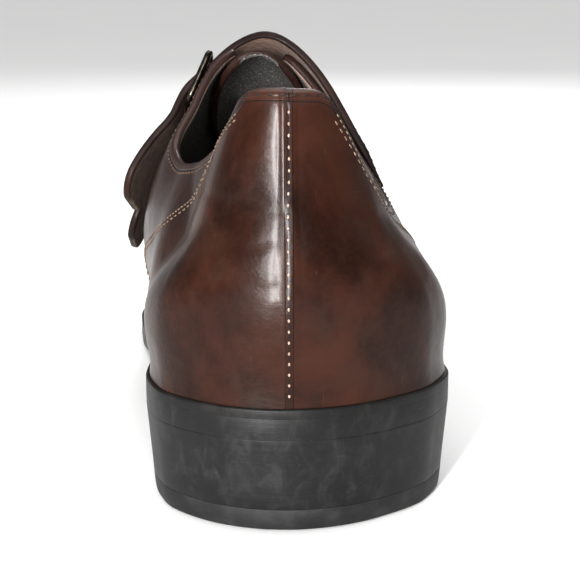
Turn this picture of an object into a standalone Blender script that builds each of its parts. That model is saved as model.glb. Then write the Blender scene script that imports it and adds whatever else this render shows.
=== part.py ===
"""Wingtip double monk strap shoe for the left foot, built as separate parts.

Shoe coordinates are millimetres: x across (medial positive, lateral negative), the station along the
shoe from the back of the heel towards the toe, and z up from the floor. Every part is finished in
metres, with +Y towards the toe and the origin at the centre of the heel's floor face.
"""

import math

import bmesh
import bpy
from mathutils import Vector

MM = 0.001

# ---------------------------------------------------------------- driving sizes, millimetres
SOLE_LENGTH = 300.0
ORIGIN_X = 3.2
ORIGIN_STATION = 39.4
GAP = 0.3

OUTSOLE_THICKNESS = 4.7
WELT_THICKNESS = 2.3
INSOLE_RISE = 2.4
WALL = 2.4
TOP_LIFT_THICKNESS = 5.0
HEEL_STACK_TOP = 21.7
BREAST_STATION = 78.0

STRAP_WIDTH = 22.0
STRAP_THICKNESS = 2.2
STRAP_REST = 0.4
HINGE_LIFT = 2.7
STRAP_TILT = math.radians(26.0)
STRAP_SWEEP = 13.0
SWEEP_REACH = 16.0
BUCKLE_WIRE = 1.0
PRONG_RADIUS = 0.8

# Outline of the sole seen from above, one row a station. edge_* is how far the sole shows past the upper.
SOLE_COLUMNS = ("station", "centre", "half_width", "edge_lateral", "edge_medial")
SOLE_ROWS = (
    (0.0, 0.3, 0.0, 1.5, 1.5),
    (8.0, 1.0, 22.6, 1.5, 1.5),
    (20.0, 2.4, 33.6, 1.5, 1.5),
    (35.0, 3.5, 37.7, 1.5, 1.5),
    (60.0, 3.0, 36.2, 1.6, 1.5),
    (85.0, -0.4, 34.4, 1.8, 1.5),
    (110.0, -2.8, 34.2, 2.4, 1.6),
    (135.0, -3.2, 37.2, 3.0, 2.2),
    (160.0, -0.9, 42.9, 3.8, 3.6),
    (185.0, 1.6, 48.9, 4.6, 4.7),
    (205.0, 3.3, 51.9, 5.0, 5.0),
    (225.0, 4.8, 51.2, 5.2, 5.2),
    (245.0, 6.6, 47.0, 5.3, 5.3),
    (265.0, 7.8, 39.6, 5.4, 5.4),
    (282.0, 8.4, 28.6, 5.5, 5.5),
    (300.0, 8.4, 0.0, 5.5, 5.5),
)

# Height of the outsole's underside: heel seat, arch, flat tread under the ball, toe spring.
TREAD_COLUMNS = ("station", "height")
TREAD_ROWS = (
    (0.0, 22.0),
    (78.0, 22.0),
    (100.0, 18.4),
    (120.0, 12.8),
    (140.0, 7.0),
    (160.0, 2.6),
    (182.0, 0.0),
    (214.0, 0.0),
    (235.0, 1.1),
    (260.0, 3.9),
    (280.0, 7.3),
    (300.0, 11.5),
)

# Cross-sections of the upper. ridge_* is the centre line over the instep (closed over the heel, where
# the collar cuts it away). full_* is the superellipse power of each side, belly_* the swell past the
# sole edge and level_* the share of the height at which that swell is largest.
SECTION_COLUMNS = (
    "station",
    "ridge_x",
    "ridge_height",
    "full_lateral",
    "full_medial",
    "belly_lateral",
    "belly_medial",
    "level_lateral",
    "level_medial",
)
SECTION_ROWS = (
    (-10.0, 0.3, 125.0, 1.09, 1.07, 1.6, 1.8, 0.33, 0.33),
    (14.0, 0.0, 125.0, 1.09, 1.06, 4.6, 5.2, 0.22, 0.23),
    (35.0, -0.6, 125.0, 1.09, 1.05, 5.7, 6.4, 0.19, 0.21),
    (60.0, -2.4, 119.5, 1.55, 1.2, 4.8, 5.8, 0.32, 0.25),
    (85.0, -4.2, 112.6, 2.12, 1.68, 6.0, 4.0, 0.4, 0.32),
    (105.0, -4.8, 108.6, 2.16, 1.76, 6.5, 4.4, 0.37, 0.38),
    (125.0, -3.8, 97.6, 2.12, 1.86, 6.4, 4.8, 0.37, 0.4),
    (150.0, -1.0, 82.8, 2.05, 2.0, 5.0, 4.0, 0.36, 0.38),
    (175.0, 2.8, 69.8, 2.15, 2.15, 3.0, 2.8, 0.32, 0.32),
    (200.0, 5.2, 59.8, 2.3, 2.3, 2.0, 2.0, 0.24, 0.24),
    (230.0, 7.2, 51.6, 2.45, 2.45, 1.6, 1.6, 0.22, 0.22),
    (262.0, 8.4, 46.0, 2.55, 2.55, 1.4, 1.4, 0.2, 0.2),
    (300.0, 8.4, 41.0, 2.6, 2.6, 1.4, 1.4, 0.2, 0.2),
)

# Where the rib that starts at a station of the sole edge meets the ridge.
FAN_COLUMNS = ("station", "ridge_station")
FAN_ROWS = (
    (0.0, 10.0),
    (8.0, 10.4),
    (20.0, 13.2),
    (35.0, 22.0),
    (50.0, 37.0),
    (65.0, 56.0),
    (82.0, 77.0),
    (105.0, 104.0),
    (130.0, 129.0),
    (220.0, 218.0),
    (255.0, 240.0),
    (280.0, 254.0),
    (300.0, 262.0),
)

# Top edge of the quarters from the back of the heel to the instep. It dips lower on the inner side.
COLLAR_COLUMNS = ("station", "lateral", "medial")
COLLAR_ROWS = (
    (0.0, 99.8, 99.8),
    (9.0, 99.6, 99.4),
    (13.0, 98.9, 97.4),
    (17.5, 97.0, 89.0),
    (21.0, 93.2, 84.0),
    (34.0, 84.4, 75.4),
    (48.0, 79.6, 69.4),
    (62.0, 78.0, 66.6),
    (74.0, 80.4, 70.4),
    (86.0, 88.2, 80.0),
    (96.0, 98.0, 93.0),
    (103.0, 107.0, 105.0),
    (108.0, 116.0, 116.0),
    (112.0, 134.0, 134.0),
)

# Half the throat's opening, measured across from the ridge.
THROAT_COLUMNS = ("station", "half_opening")
THROAT_ROWS = (
    (92.0, -6.0),
    (100.0, 6.5),
    (108.0, 8.6),
    (125.0, 10.4),
    (136.0, 10.0),
    (143.0, 8.2),
    (148.0, 5.4),
    (151.0, 2.0),
)
THROAT_END = 151.0

# Half the tongue's width from its free top edge to its root under the vamp.
TONGUE_COLUMNS = ("station", "half_width")
TONGUE_ROWS = (
    (99.5, 9.0),
    (102.0, 13.5),
    (107.5, 17.0),
    (125.0, 19.5),
    (150.0, 18.5),
    (168.0, 16.0),
    (176.0, 14.0),
)
TONGUE_THICKNESS = 2.2
TONGUE_GAP = 0.8

# One row a strap: arc lengths run from the ridge, medial ones down the inner side.
STRAP_COLUMNS = (
    "name",
    "crossing",
    "medial_arc",
    "hinge_arc",
    "frame_length",
    "free_length",
    "flare",
    "droop",
    "twist",
)
STRAP_ROWS = (
    ("upper", 113.0, 56.0, 28.0, 13.0, 27.5, 14.0, 24.0, 12.0),
    ("lower", 141.5, 50.0, 28.0, 13.0, 32.0, 4.0, 20.0, 2.0),
)

RIBS = 50
ROWS_UP = 13


class Track:
    """A smooth curve through table rows that never overshoots between two of them."""

    def __init__(self, xs, ys):
        self.xs = list(xs)
        self.ys = list(ys)
        count = len(self.xs)
        steps = [self.xs[i + 1] - self.xs[i] for i in range(count - 1)]
        rises = [(self.ys[i + 1] - self.ys[i]) / steps[i] for i in range(count - 1)]
        slopes = [rises[0]]
        for i in range(1, count - 1):
            before, after = rises[i - 1], rises[i]
            if before * after <= 0.0:
                slopes.append(0.0)
                continue
            w1 = 2.0 * steps[i] + steps[i - 1]
            w2 = steps[i] + 2.0 * steps[i - 1]
            slopes.append((w1 + w2) / (w1 / before + w2 / after))
        slopes.append(rises[-1])
        self.slopes = slopes

    def __call__(self, x):
        xs = self.xs
        if x <= xs[0]:
            return self.ys[0]
        if x >= xs[-1]:
            return self.ys[-1]
        i = 0
        while x > xs[i + 1]:
            i += 1
        step = xs[i + 1] - xs[i]
        t = (x - xs[i]) / step
        a = self.ys[i] * (1.0 + 2.0 * t) * (1.0 - t) ** 2
        b = self.ys[i + 1] * t * t * (3.0 - 2.0 * t)
        c = self.slopes[i] * step * t * (1.0 - t) ** 2
        d = self.slopes[i + 1] * step * t * t * (t - 1.0)
        return a + b + c + d


def tracks(columns, rows, across=None):
    """One Track for each named column, against the first column or against across(first column)."""
    keys = [row[0] if across is None else across(row[0]) for row in rows]
    return {name: Track(keys, [row[k] for row in rows]) for k, name in enumerate(columns) if k}


def turn_of(station):
    """Fraction of a half turn round the sole, 0 at the back of the heel and 1 at the toe's tip."""
    return math.acos(max(-1.0, min(1.0, 1.0 - 2.0 * station / SOLE_LENGTH))) / math.pi


SOLE = tracks(SOLE_COLUMNS, SOLE_ROWS, turn_of)
TREAD = tracks(TREAD_COLUMNS, TREAD_ROWS)["height"]
SECTION = tracks(SECTION_COLUMNS, SECTION_ROWS)
FAN = tracks(FAN_COLUMNS, FAN_ROWS)["ridge_station"]
COLLAR = tracks(COLLAR_COLUMNS, COLLAR_ROWS)
THROAT = tracks(THROAT_COLUMNS, THROAT_ROWS)["half_opening"]
TONGUE = tracks(TONGUE_COLUMNS, TONGUE_ROWS)["half_width"]


# ---------------------------------------------------------------- the sole's outline and levels
def outline(side, turn, inset=0.0):
    """Point of the sole's edge as (x, station), moved inwards by inset. side is 1 medial, -1 lateral."""
    if turn < 0.0:
        side, turn = -side, -turn
    if turn > 1.0:
        side, turn = -side, 2.0 - turn
    station = SOLE_LENGTH * (1.0 - math.cos(math.pi * turn)) / 2.0
    x = SOLE["centre"](turn) + side * SOLE["half_width"](turn)
    if inset == 0.0:
        return x, station
    x0, s0 = outline(side, turn - 0.004)
    x1, s1 = outline(side, turn + 0.004)
    along_x, along_s = x1 - x0, s1 - s0
    size = math.hypot(along_x, along_s)
    return x - side * along_s / size * inset, station + side * along_x / size * inset


def edge_width(side, turn):
    return SOLE["edge_medial" if side > 0 else "edge_lateral"](turn)


def feather(side, turn, inset=0.0):
    """Where the outside of the upper meets the welt."""
    return outline(side, turn, edge_width(side, turn) + inset)


def outsole_top(station):
    return TREAD(station) + OUTSOLE_THICKNESS


def welt_top(station):
    return outsole_top(station) + GAP + WELT_THICKNESS


def feather_level(station):
    return welt_top(station) + GAP


# ---------------------------------------------------------------- the outside of the upper
def of_side(name, side, station):
    return SECTION[name + ("_medial" if side > 0 else "_lateral")](station)


def last(side, turn, climb):
    """Outside of the upper. climb is 0 at the sole and 1 on the ridge over the instep."""
    if turn < 0.0:
        side, turn = -side, -turn
    if turn > 1.0:
        side, turn = -side, 2.0 - turn
    if climb > 1.0:
        side, climb = -side, 2.0 - climb
    foot_x, foot_s = feather(side, turn)
    ridge_s = FAN(SOLE_LENGTH * (1.0 - math.cos(math.pi * turn)) / 2.0)
    ridge_x = SECTION["ridge_x"](ridge_s)
    angle = climb * math.pi / 2.0
    power = of_side("full", side, foot_s)
    reach = (math.cos(angle) ** power + math.sin(angle) ** power) ** (-1.0 / power)
    inward = 1.0 - reach * math.cos(angle)
    rise = reach * math.sin(angle)
    level = of_side("level", side, foot_s) * 2.0
    swell = 0.0
    if rise < level:
        share = rise / level
        swell = 16.0 * share * share * (1.0 - share) ** 2
        swell *= of_side("belly", side, foot_s)
    out_x, out_s = foot_x - ridge_x, foot_s - ridge_s
    size = math.hypot(out_x, out_s)
    x = foot_x + (ridge_x - foot_x) * inward + out_x / size * swell
    station = foot_s + (ridge_s - foot_s) * inward + out_s / size * swell
    floor = feather_level(foot_s)
    return Vector((x, station, floor + (SECTION["ridge_height"](station) - floor) * rise))


def last_normal(side, turn, climb):
    """Outward unit normal of the upper's outside."""
    along = last(side, turn + 0.002, climb) - last(side, turn - 0.002, climb)
    if climb < 0.01:
        up = last(side, turn, climb + 0.01) - last(side, turn, climb)
    else:
        up = last(side, turn, climb + 0.004) - last(side, turn, climb - 0.004)
    if along.length < 1e-9:
        along = Vector((side, 0.0, 0.0))
    return (along.cross(up) * side).normalized()


def off_last(side, turn, climb, lift):
    return last(side, turn, climb) + last_normal(side, turn, climb) * lift


def beyond_edge(side, point):
    """Positive where the collar or the throat opens the upper."""
    over_collar = point.z - COLLAR["medial" if side > 0 else "lateral"](point.y)
    in_throat = THROAT(point.y) - abs(point.x - SECTION["ridge_x"](point.y))
    if point.y < 92.0:
        in_throat = -9.0
    if point.y > 112.0:
        over_collar = -9.0
    spread = 1.2
    high = max(over_collar, in_throat)
    soft = math.exp((over_collar - high) / spread) + math.exp((in_throat - high) / spread)
    return high + spread * math.log(soft) - spread * math.log(2.0) * 0.5


def edge_climb(side, turn):
    """How far a rib climbs before it reaches the collar or the throat, 1 if it reaches the ridge."""
    steps = 80
    low = 0.2
    for k in range(1, steps + 1):
        climb = 0.2 + 0.8 * k / steps
        if beyond_edge(side, last(side, turn, climb)) > 0.0:
            high = climb
            for _ in range(30):
                middle = (low + high) / 2.0
                if beyond_edge(side, last(side, turn, middle)) > 0.0:
                    high = middle
                else:
                    low = middle
            return (low + high) / 2.0
        low = climb
    return 1.0


def even_turns(count):
    """Turns at even spacing along the sole's edge."""
    fine = 600
    lengths = [0.0]
    before = outline(1, 0.0)
    for k in range(1, fine + 1):
        point = outline(1, k / fine)
        lengths.append(lengths[-1] + math.dist(before, point))
        before = point
    turns = []
    k = 0
    for i in range(count + 1):
        target = lengths[-1] * i / count
        while k < fine - 1 and lengths[k + 1] < target:
            k += 1
        span = lengths[k + 1] - lengths[k]
        turns.append((k + (target - lengths[k]) / span) / fine)
    turns[0], turns[-1] = 0.0, 1.0
    return turns


# ---------------------------------------------------------------- meshes
class Body:
    """Vertices found again by key, faces, and one material, made into one closed object."""

    def __init__(self, name):
        self.name = name
        self.points = []
        self.faces = []
        self.index = {}

    def vertex(self, key, point):
        if key not in self.index:
            self.index[key] = len(self.points)
            self.points.append(tuple(point))
        return self.index[key]

    def face(self, *corners):
        kept = []
        for corner in corners:
            if corner not in kept:
                kept.append(corner)
        if len(kept) > 2:
            self.faces.append(kept)

    def make(self, look, flat=True):
        mesh = bpy.data.meshes.new(self.name)
        world = [
            ((x - ORIGIN_X) * MM, (station - ORIGIN_STATION) * MM, z * MM)
            for x, station, z in self.points
        ]
        mesh.from_pydata(world, [], self.faces)
        work = bmesh.new()
        work.from_mesh(mesh)
        bmesh.ops.recalc_face_normals(work, faces=work.faces)
        if flat:
            bmesh.ops.triangulate(work, faces=work.faces)
        work.to_mesh(mesh)
        work.free()
        mesh.materials.append(look)
        item = bpy.data.objects.new(self.name, mesh)
        bpy.context.scene.collection.objects.link(item)
        return item


def material(name, colour, roughness, metallic=0.0):
    look = bpy.data.materials.new(name)
    look.use_nodes = True
    surface = look.node_tree.nodes["Principled BSDF"]
    surface.inputs["Base Color"].default_value = (*colour, 1.0)
    surface.inputs["Roughness"].default_value = roughness
    surface.inputs["Metallic"].default_value = metallic
    look.diffuse_color = (*colour, 1.0)
    return look


# ---------------------------------------------------------------- bottom unit
def slab(name, turns, edge, floor, roof, look):
    """A plate across the shoe between two levels. edge(side, turn) gives its outline."""
    body = Body(name)
    last_rung = len(turns) - 1
    rings = []
    for layer, level in ((0, floor), (1, roof)):
        ring = {}
        for i, turn in enumerate(turns):
            for side in (1, -1):
                single = turn <= 0.0 or turn >= 1.0
                x, station = edge(side, turn)
                key = (layer, i, 0 if single else side)
                ring[i, side] = body.vertex(key, (x, station, level(station)))
        rings.append(ring)
    low, high = rings
    for i in range(last_rung):
        for ring in rings:
            body.face(ring[i, 1], ring[i + 1, 1], ring[i + 1, -1], ring[i, -1])
        for side in (1, -1):
            body.face(low[i, side], low[i + 1, side], high[i + 1, side], high[i, side])
    if turns[-1] < 1.0:
        body.face(low[last_rung, 1], low[last_rung, -1], high[last_rung, -1], high[last_rung, 1])
    return body.make(look)


def straight_rungs(side, turn, inset):
    """Outline point whose station is the same on both sides, so that each rung is level."""
    x, _ = outline(side, turn, inset)
    medial = outline(1, turn, inset)[1]
    lateral = outline(-1, turn, inset)[1]
    return x, (medial + lateral) / 2.0


def add_outsole(turns, look):
    slab(
        "outsole",
        turns,
        lambda side, turn: straight_rungs(side, turn, 0.35),
        TREAD,
        outsole_top,
        look,
    )


def add_insole(turns, look):
    slab(
        "insole",
        turns,
        lambda side, turn: straight_rungs(side, turn, edge_width(side, turn) + WALL + 0.5),
        lambda station: outsole_top(station) + GAP,
        lambda station: feather_level(station) + INSOLE_RISE,
        look,
    )


def add_welt(turns, look):
    body = Body("welt")
    rim = {}
    for i, turn in enumerate(turns):
        for side in (1, -1):
            own = 0 if i in (0, len(turns) - 1) else side
            outer = outline(side, turn)
            inner = feather(side, turn, WALL - 0.1)
            for layer, level in ((0, GAP), (1, GAP + WELT_THICKNESS)):
                for ring, (x, station) in ((0, outer), (1, inner)):
                    z = outsole_top(station) + level
                    rim[i, side, layer, ring] = body.vertex((layer, ring, i, own), (x, station, z))
    loops = ((0, 0), (1, 0), (1, 1), (0, 1))
    for i in range(len(turns) - 1):
        for side in (1, -1):
            for k in range(4):
                a, b = loops[k], loops[(k + 1) % 4]
                body.face(
                    rim[i, side, a[0], a[1]],
                    rim[i + 1, side, a[0], a[1]],
                    rim[i + 1, side, b[0], b[1]],
                    rim[i, side, b[0], b[1]],
                )
    return body.make(look)


def heel_levels(name, turns, levels, look):
    """Part of the heel block: each level is (height, inset, breast station)."""
    body = Body(name)
    rings = []
    for k, (height, inset, breast) in enumerate(levels):
        ring = {}
        for i, turn in enumerate(turns):
            for side in (1, -1):
                x, station = straight_rungs(side, turn, inset)
                end_station = straight_rungs(side, turns[-1], inset)[1]
                station += (breast - end_station) * (i / (len(turns) - 1)) ** 3
                own = 0 if i == 0 else side
                ring[i, side] = body.vertex((k, i, own), (x, station, height))
        rings.append(ring)
    end = len(turns) - 1
    for low, high in zip(rings, rings[1:]):
        for i in range(end):
            for side in (1, -1):
                body.face(low[i, side], low[i + 1, side], high[i + 1, side], high[i, side])
        body.face(low[end, 1], low[end, -1], high[end, -1], high[end, 1])
    for ring in (rings[0], rings[-1]):
        for i in range(end):
            body.face(ring[i, 1], ring[i + 1, 1], ring[i + 1, -1], ring[i, -1])
    return body.make(look)


def add_heel(stack_look, lift_look):
    turns = [turn_of(BREAST_STATION) * math.sin(math.pi / 2.0 * i / 16.0) for i in range(17)]
    stack = (
        (TOP_LIFT_THICKNESS + GAP, 1.9, BREAST_STATION - 1.6),
        (9.0, 1.75, BREAST_STATION - 1.2),
        (13.5, 1.4, BREAST_STATION - 0.7),
        (HEEL_STACK_TOP, 0.9, BREAST_STATION),
    )
    lift = (
        (0.0, 2.5, BREAST_STATION - 2.2),
        (TOP_LIFT_THICKNESS, 2.0, BREAST_STATION - 1.6),
    )
    heel_levels("heel", turns, stack, stack_look)
    heel_levels("heel_top_lift", turns, lift, lift_look)


# ---------------------------------------------------------------- upper and tongue
def add_upper(turns, look):
    body = Body("upper")
    grid = {}
    for i, turn in enumerate(turns):
        for side in (1, -1):
            closed = FAN(SOLE_LENGTH * (1.0 - math.cos(math.pi * turn)) / 2.0) > THROAT_END
            top = 1.0 if closed else edge_climb(side, turn)
            for j in range(ROWS_UP + 1):
                climb = top * j / ROWS_UP
                own = 0 if i in (0, len(turns) - 1) or (closed and j == ROWS_UP) else side
                outside = last(side, turn, climb)
                inside = off_last(side, turn, climb, -WALL)
                if j == 0:
                    x, station = feather(side, turn, WALL)
                    inside = Vector((x, station, feather_level(station)))
                grid[i, side, j, 0] = body.vertex(("out", i, own, j), outside)
                grid[i, side, j, 1] = body.vertex(("in", i, own, j), inside)
    for i in range(len(turns) - 1):
        for side in (1, -1):
            for layer in (0, 1):
                for j in range(ROWS_UP):
                    body.face(
                        grid[i, side, j, layer],
                        grid[i + 1, side, j, layer],
                        grid[i + 1, side, j + 1, layer],
                        grid[i, side, j + 1, layer],
                    )
            body.face(
                grid[i, side, 0, 0],
                grid[i + 1, side, 0, 0],
                grid[i + 1, side, 0, 1],
                grid[i, side, 0, 1],
            )
            open_here = grid[i, 1, ROWS_UP, 0] != grid[i, -1, ROWS_UP, 0] or i == 0
            if open_here:
                body.face(
                    grid[i, side, ROWS_UP, 0],
                    grid[i + 1, side, ROWS_UP, 0],
                    grid[i + 1, side, ROWS_UP, 1],
                    grid[i, side, ROWS_UP, 1],
                )
    return body.make(look)


def climb_at_reach(side, turn, reach):
    """Climb at which a rib is still reach away from the ridge, measured across."""
    low, high = 0.3, 1.0
    for _ in range(40):
        middle = (low + high) / 2.0
        point = last(side, turn, middle)
        if abs(point.x - SECTION["ridge_x"](point.y)) > reach:
            low = middle
        else:
            high = middle
    return (low + high) / 2.0


def turn_at_ridge(station):
    low, high = 0.0, 1.0
    for _ in range(40):
        middle = (low + high) / 2.0
        if FAN(SOLE_LENGTH * (1.0 - math.cos(math.pi * middle)) / 2.0) < station:
            low = middle
        else:
            high = middle
    return (low + high) / 2.0


def add_tongue(look):
    body = Body("tongue")
    first, end = TONGUE_ROWS[0][0], TONGUE_ROWS[-1][0]
    rungs, half = 15, 6
    grid = {}
    for i in range(rungs + 1):
        station = first + (end - first) * (i / rungs) ** 1.25
        turn = turn_at_ridge(station)
        for k in range(-half, half + 1):
            side = 1 if k >= 0 else -1
            reach = TONGUE(station) * abs(k) / half
            climb = climb_at_reach(side, turn, reach) if k else 1.0
            for layer, depth in ((0, WALL + TONGUE_GAP), (1, WALL + TONGUE_GAP + TONGUE_THICKNESS)):
                grid[i, k, layer] = body.vertex((i, k, layer), off_last(side, turn, climb, -depth))
    plate_faces(body, grid, rungs, -half, half)
    return body.make(look)


def plate_faces(body, grid, rungs, first, end, holes=()):
    """Close a two-layer grid: both skins, the rim, and the walls of any hole cells."""
    for i in range(rungs):
        for k in range(first, end):
            ring = ((i, k), (i + 1, k), (i + 1, k + 1), (i, k + 1))
            if (i, k) in holes:
                for a, b in zip(ring, ring[1:] + ring[:1]):
                    body.face(grid[(*a, 0)], grid[(*b, 0)], grid[(*b, 1)], grid[(*a, 1)])
                continue
            for layer in (0, 1):
                body.face(*(grid[(*corner, layer)] for corner in ring))
    rim = [(i, first) for i in range(rungs)]
    rim += [(rungs, k) for k in range(first, end)]
    rim += [(i, end) for i in range(rungs, 0, -1)]
    rim += [(0, k) for k in range(end, first, -1)]
    for a, b in zip(rim, rim[1:] + rim[:1]):
        body.face(grid[(*a, 0)], grid[(*b, 0)], grid[(*b, 1)], grid[(*a, 1)])


# ---------------------------------------------------------------- straps and buckles
class StrapLine:
    """Walks over the instep square to the ridge, by arc length from it, and sweeps forward laterally."""

    def __init__(self, crossing):
        ridge = Vector((0.0, crossing, SECTION["ridge_height"](crossing)))
        self.plane = self.distance(ridge)
        self.paths = {}
        for side in (1, -1):
            path = [(0.0, 1.0)]
            before = self.point(side, 1.0, 0.0)[0]
            for k in range(1, 121):
                climb = 1.0 - 0.0058 * k
                point = self.point(side, climb, 0.0)[0]
                path.append((path[-1][0] + (point - before).length, climb))
                before = point
            self.paths[side] = path

    @staticmethod
    def distance(point):
        level = point.y * math.cos(STRAP_TILT) - point.z * math.sin(STRAP_TILT)
        if point.x < 0.0:
            level -= STRAP_SWEEP * (1.0 - math.exp(-((-point.x / SWEEP_REACH) ** 1.5)))
        return level

    def turn(self, side, climb, across):
        low, high = 0.12, 0.85
        for _ in range(36):
            middle = (low + high) / 2.0
            if self.distance(last(side, middle, climb)) < self.plane + across:
                low = middle
            else:
                high = middle
        return (low + high) / 2.0

    def point(self, side, climb, across):
        turn = self.turn(side, climb, across)
        return last(side, turn, climb), last_normal(side, turn, climb)

    def at(self, arc, across, lift):
        """Point lift above the upper, arc along the strap (lateral positive), across towards the toe."""
        side = -1 if arc > 0.0 else 1
        path = self.paths[side]
        k = 0
        while k < len(path) - 2 and path[k + 1][0] < abs(arc):
            k += 1
        share = (abs(arc) - path[k][0]) / (path[k + 1][0] - path[k][0])
        climb = path[k][1] + (path[k + 1][1] - path[k][1]) * share
        point, normal = self.point(side, climb, across)
        return point + normal * lift

    def seat(self, arc):
        """Where a strap that is flat across lies on the upper: middle, width direction and up."""
        spots = [self.at(arc, share * STRAP_WIDTH / 2.0, 0.0) for share in (-1.0, -0.5, 0.0, 0.5, 1.0)]
        width = (spots[-1] - spots[0]).normalized()
        up = self.at(arc, 0.0, 1.0) - spots[2]
        up = (up - width * up.dot(width)).normalized()
        middle = (spots[0] + spots[-1]) / 2.0
        rise = max((spot - middle).dot(up) for spot in spots)
        return middle + up * max(0.0, rise), width, up


def strap_lift(arc, hinge):
    """Height of the strap's underside over the upper: it rises over the buckle's hinge bar."""
    share = max(0.0, min(1.0, (arc - hinge + 13.0) / 12.0))
    return STRAP_REST + HINGE_LIFT * share * share * (3.0 - 2.0 * share)


def strap_half_width(from_end):
    """Half width near the free end, which is a blunt round."""
    radius = 8.0
    if from_end >= radius:
        return STRAP_WIDTH / 2.0
    return STRAP_WIDTH / 2.0 - radius + math.sqrt(max(0.0, radius**2 - (radius - from_end) ** 2))


def add_strap(row, look):
    fields = dict(zip(STRAP_COLUMNS, row))
    line = StrapLine(fields["crossing"])
    hinge = fields["hinge_arc"]
    body = Body("strap_" + fields["name"])
    across_shares = (-1.0, -0.55, -0.17, 0.17, 0.55, 1.0)
    arcs = [-fields["medial_arc"] + k * (fields["medial_arc"] - 22.0) / 8.0 for k in range(9)]
    arcs += [-17.5, -13.5, -10.0, -6.5, -3.2, 0.0, 3.2, 6.5, 10.0, 13.5, 17.0]
    arcs += [hinge - 7.0, hinge - 3.6, hinge + 1.6, hinge + 4.5]
    frames = []
    for arc in arcs:
        lift = strap_lift(arc, hinge)
        middle, width, up = line.seat(arc)
        flat = max(0.0, min(1.0, (arc + 40.0) / 18.0))
        layers = []
        for height in (lift, lift + STRAP_THICKNESS):
            hugging = [line.at(arc, w * STRAP_WIDTH / 2.0, height) for w in across_shares]
            bridging = [middle + width * (w * STRAP_WIDTH / 2.0) + up * height for w in across_shares]
            layers.append([a.lerp(b, flat) for a, b in zip(hugging, bridging)])
        frames.append(tuple(layers))
    middle = [sum((low[k] for k in (2, 3)), Vector()) / 2.0 for low, _ in frames[-2:]]
    forward = (middle[1] - middle[0]).normalized()
    low, high = frames[-1]
    width = (low[-1] - low[0]).normalized()
    up = sum(((high[k] - low[k]) for k in range(6)), Vector()).normalized()
    up = (up - forward * up.dot(forward)).normalized()
    free = fields["free_length"]
    centre = sum((low[k] for k in (2, 3)), Vector()) / 2.0
    steps = (0.12, 0.26, 0.42, 0.58, 0.74, 0.84, 0.91, 0.96, 0.985, 1.0)
    before = 0.0
    for step in steps:
        angle = fields["flare"] * min(1.0, step * 4.0) - fields["droop"] * step * step
        angle = math.radians(angle)
        heading = forward * math.cos(angle) + up * math.sin(angle)
        above = up * math.cos(angle) - forward * math.sin(angle)
        centre = centre + heading * (step - before) * free
        before = step
        half = strap_half_width((1.0 - step) * free)
        twist = math.radians(fields["twist"] * step)
        span = width * math.cos(twist) - above * math.sin(twist)
        face = above * math.cos(twist) + width * math.sin(twist)
        low = [centre + span * w * half for w in across_shares]
        high = [point + face * STRAP_THICKNESS for point in low]
        frames.append((low, high))
    grid = {}
    for i, (low, high) in enumerate(frames):
        for k in range(6):
            grid[i, k, 0] = body.vertex((i, k, 0), low[k])
            grid[i, k, 1] = body.vertex((i, k, 1), high[k])
    hole_row = arcs.index(hinge - 3.6)
    plate_faces(body, grid, len(frames) - 1, 0, 5, holes=((hole_row, 2),))
    return body.make(look)


def tube(name, path, radius, look, closed=False, sides=8):
    """A round bar along a path of points, closed on itself or with flat ends."""
    body = Body(name)
    count = len(path)
    rings = []
    side_axis = None
    for i, point in enumerate(path):
        before = path[(i - 1) % count] if closed or i else point
        after = path[(i + 1) % count] if closed or i < count - 1 else point
        heading = (after - before).normalized()
        if side_axis is None:
            side_axis = heading.orthogonal().normalized()
        side_axis = (side_axis - heading * side_axis.dot(heading)).normalized()
        other = heading.cross(side_axis)
        ring = []
        for k in range(sides):
            angle = 2.0 * math.pi * k / sides
            spot = point + (side_axis * math.cos(angle) + other * math.sin(angle)) * radius
            ring.append(body.vertex((i, k), spot))
        rings.append(ring)
    pairs = list(zip(rings, rings[1:]))
    if closed:
        pairs.append((rings[-1], rings[0]))
    for low, high in pairs:
        for k in range(sides):
            n = (k + 1) % sides
            body.face(low[k], low[n], high[n], high[k])
    if not closed:
        body.face(*rings[0])
        body.face(*rings[-1])
    return body.make(look)


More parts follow.
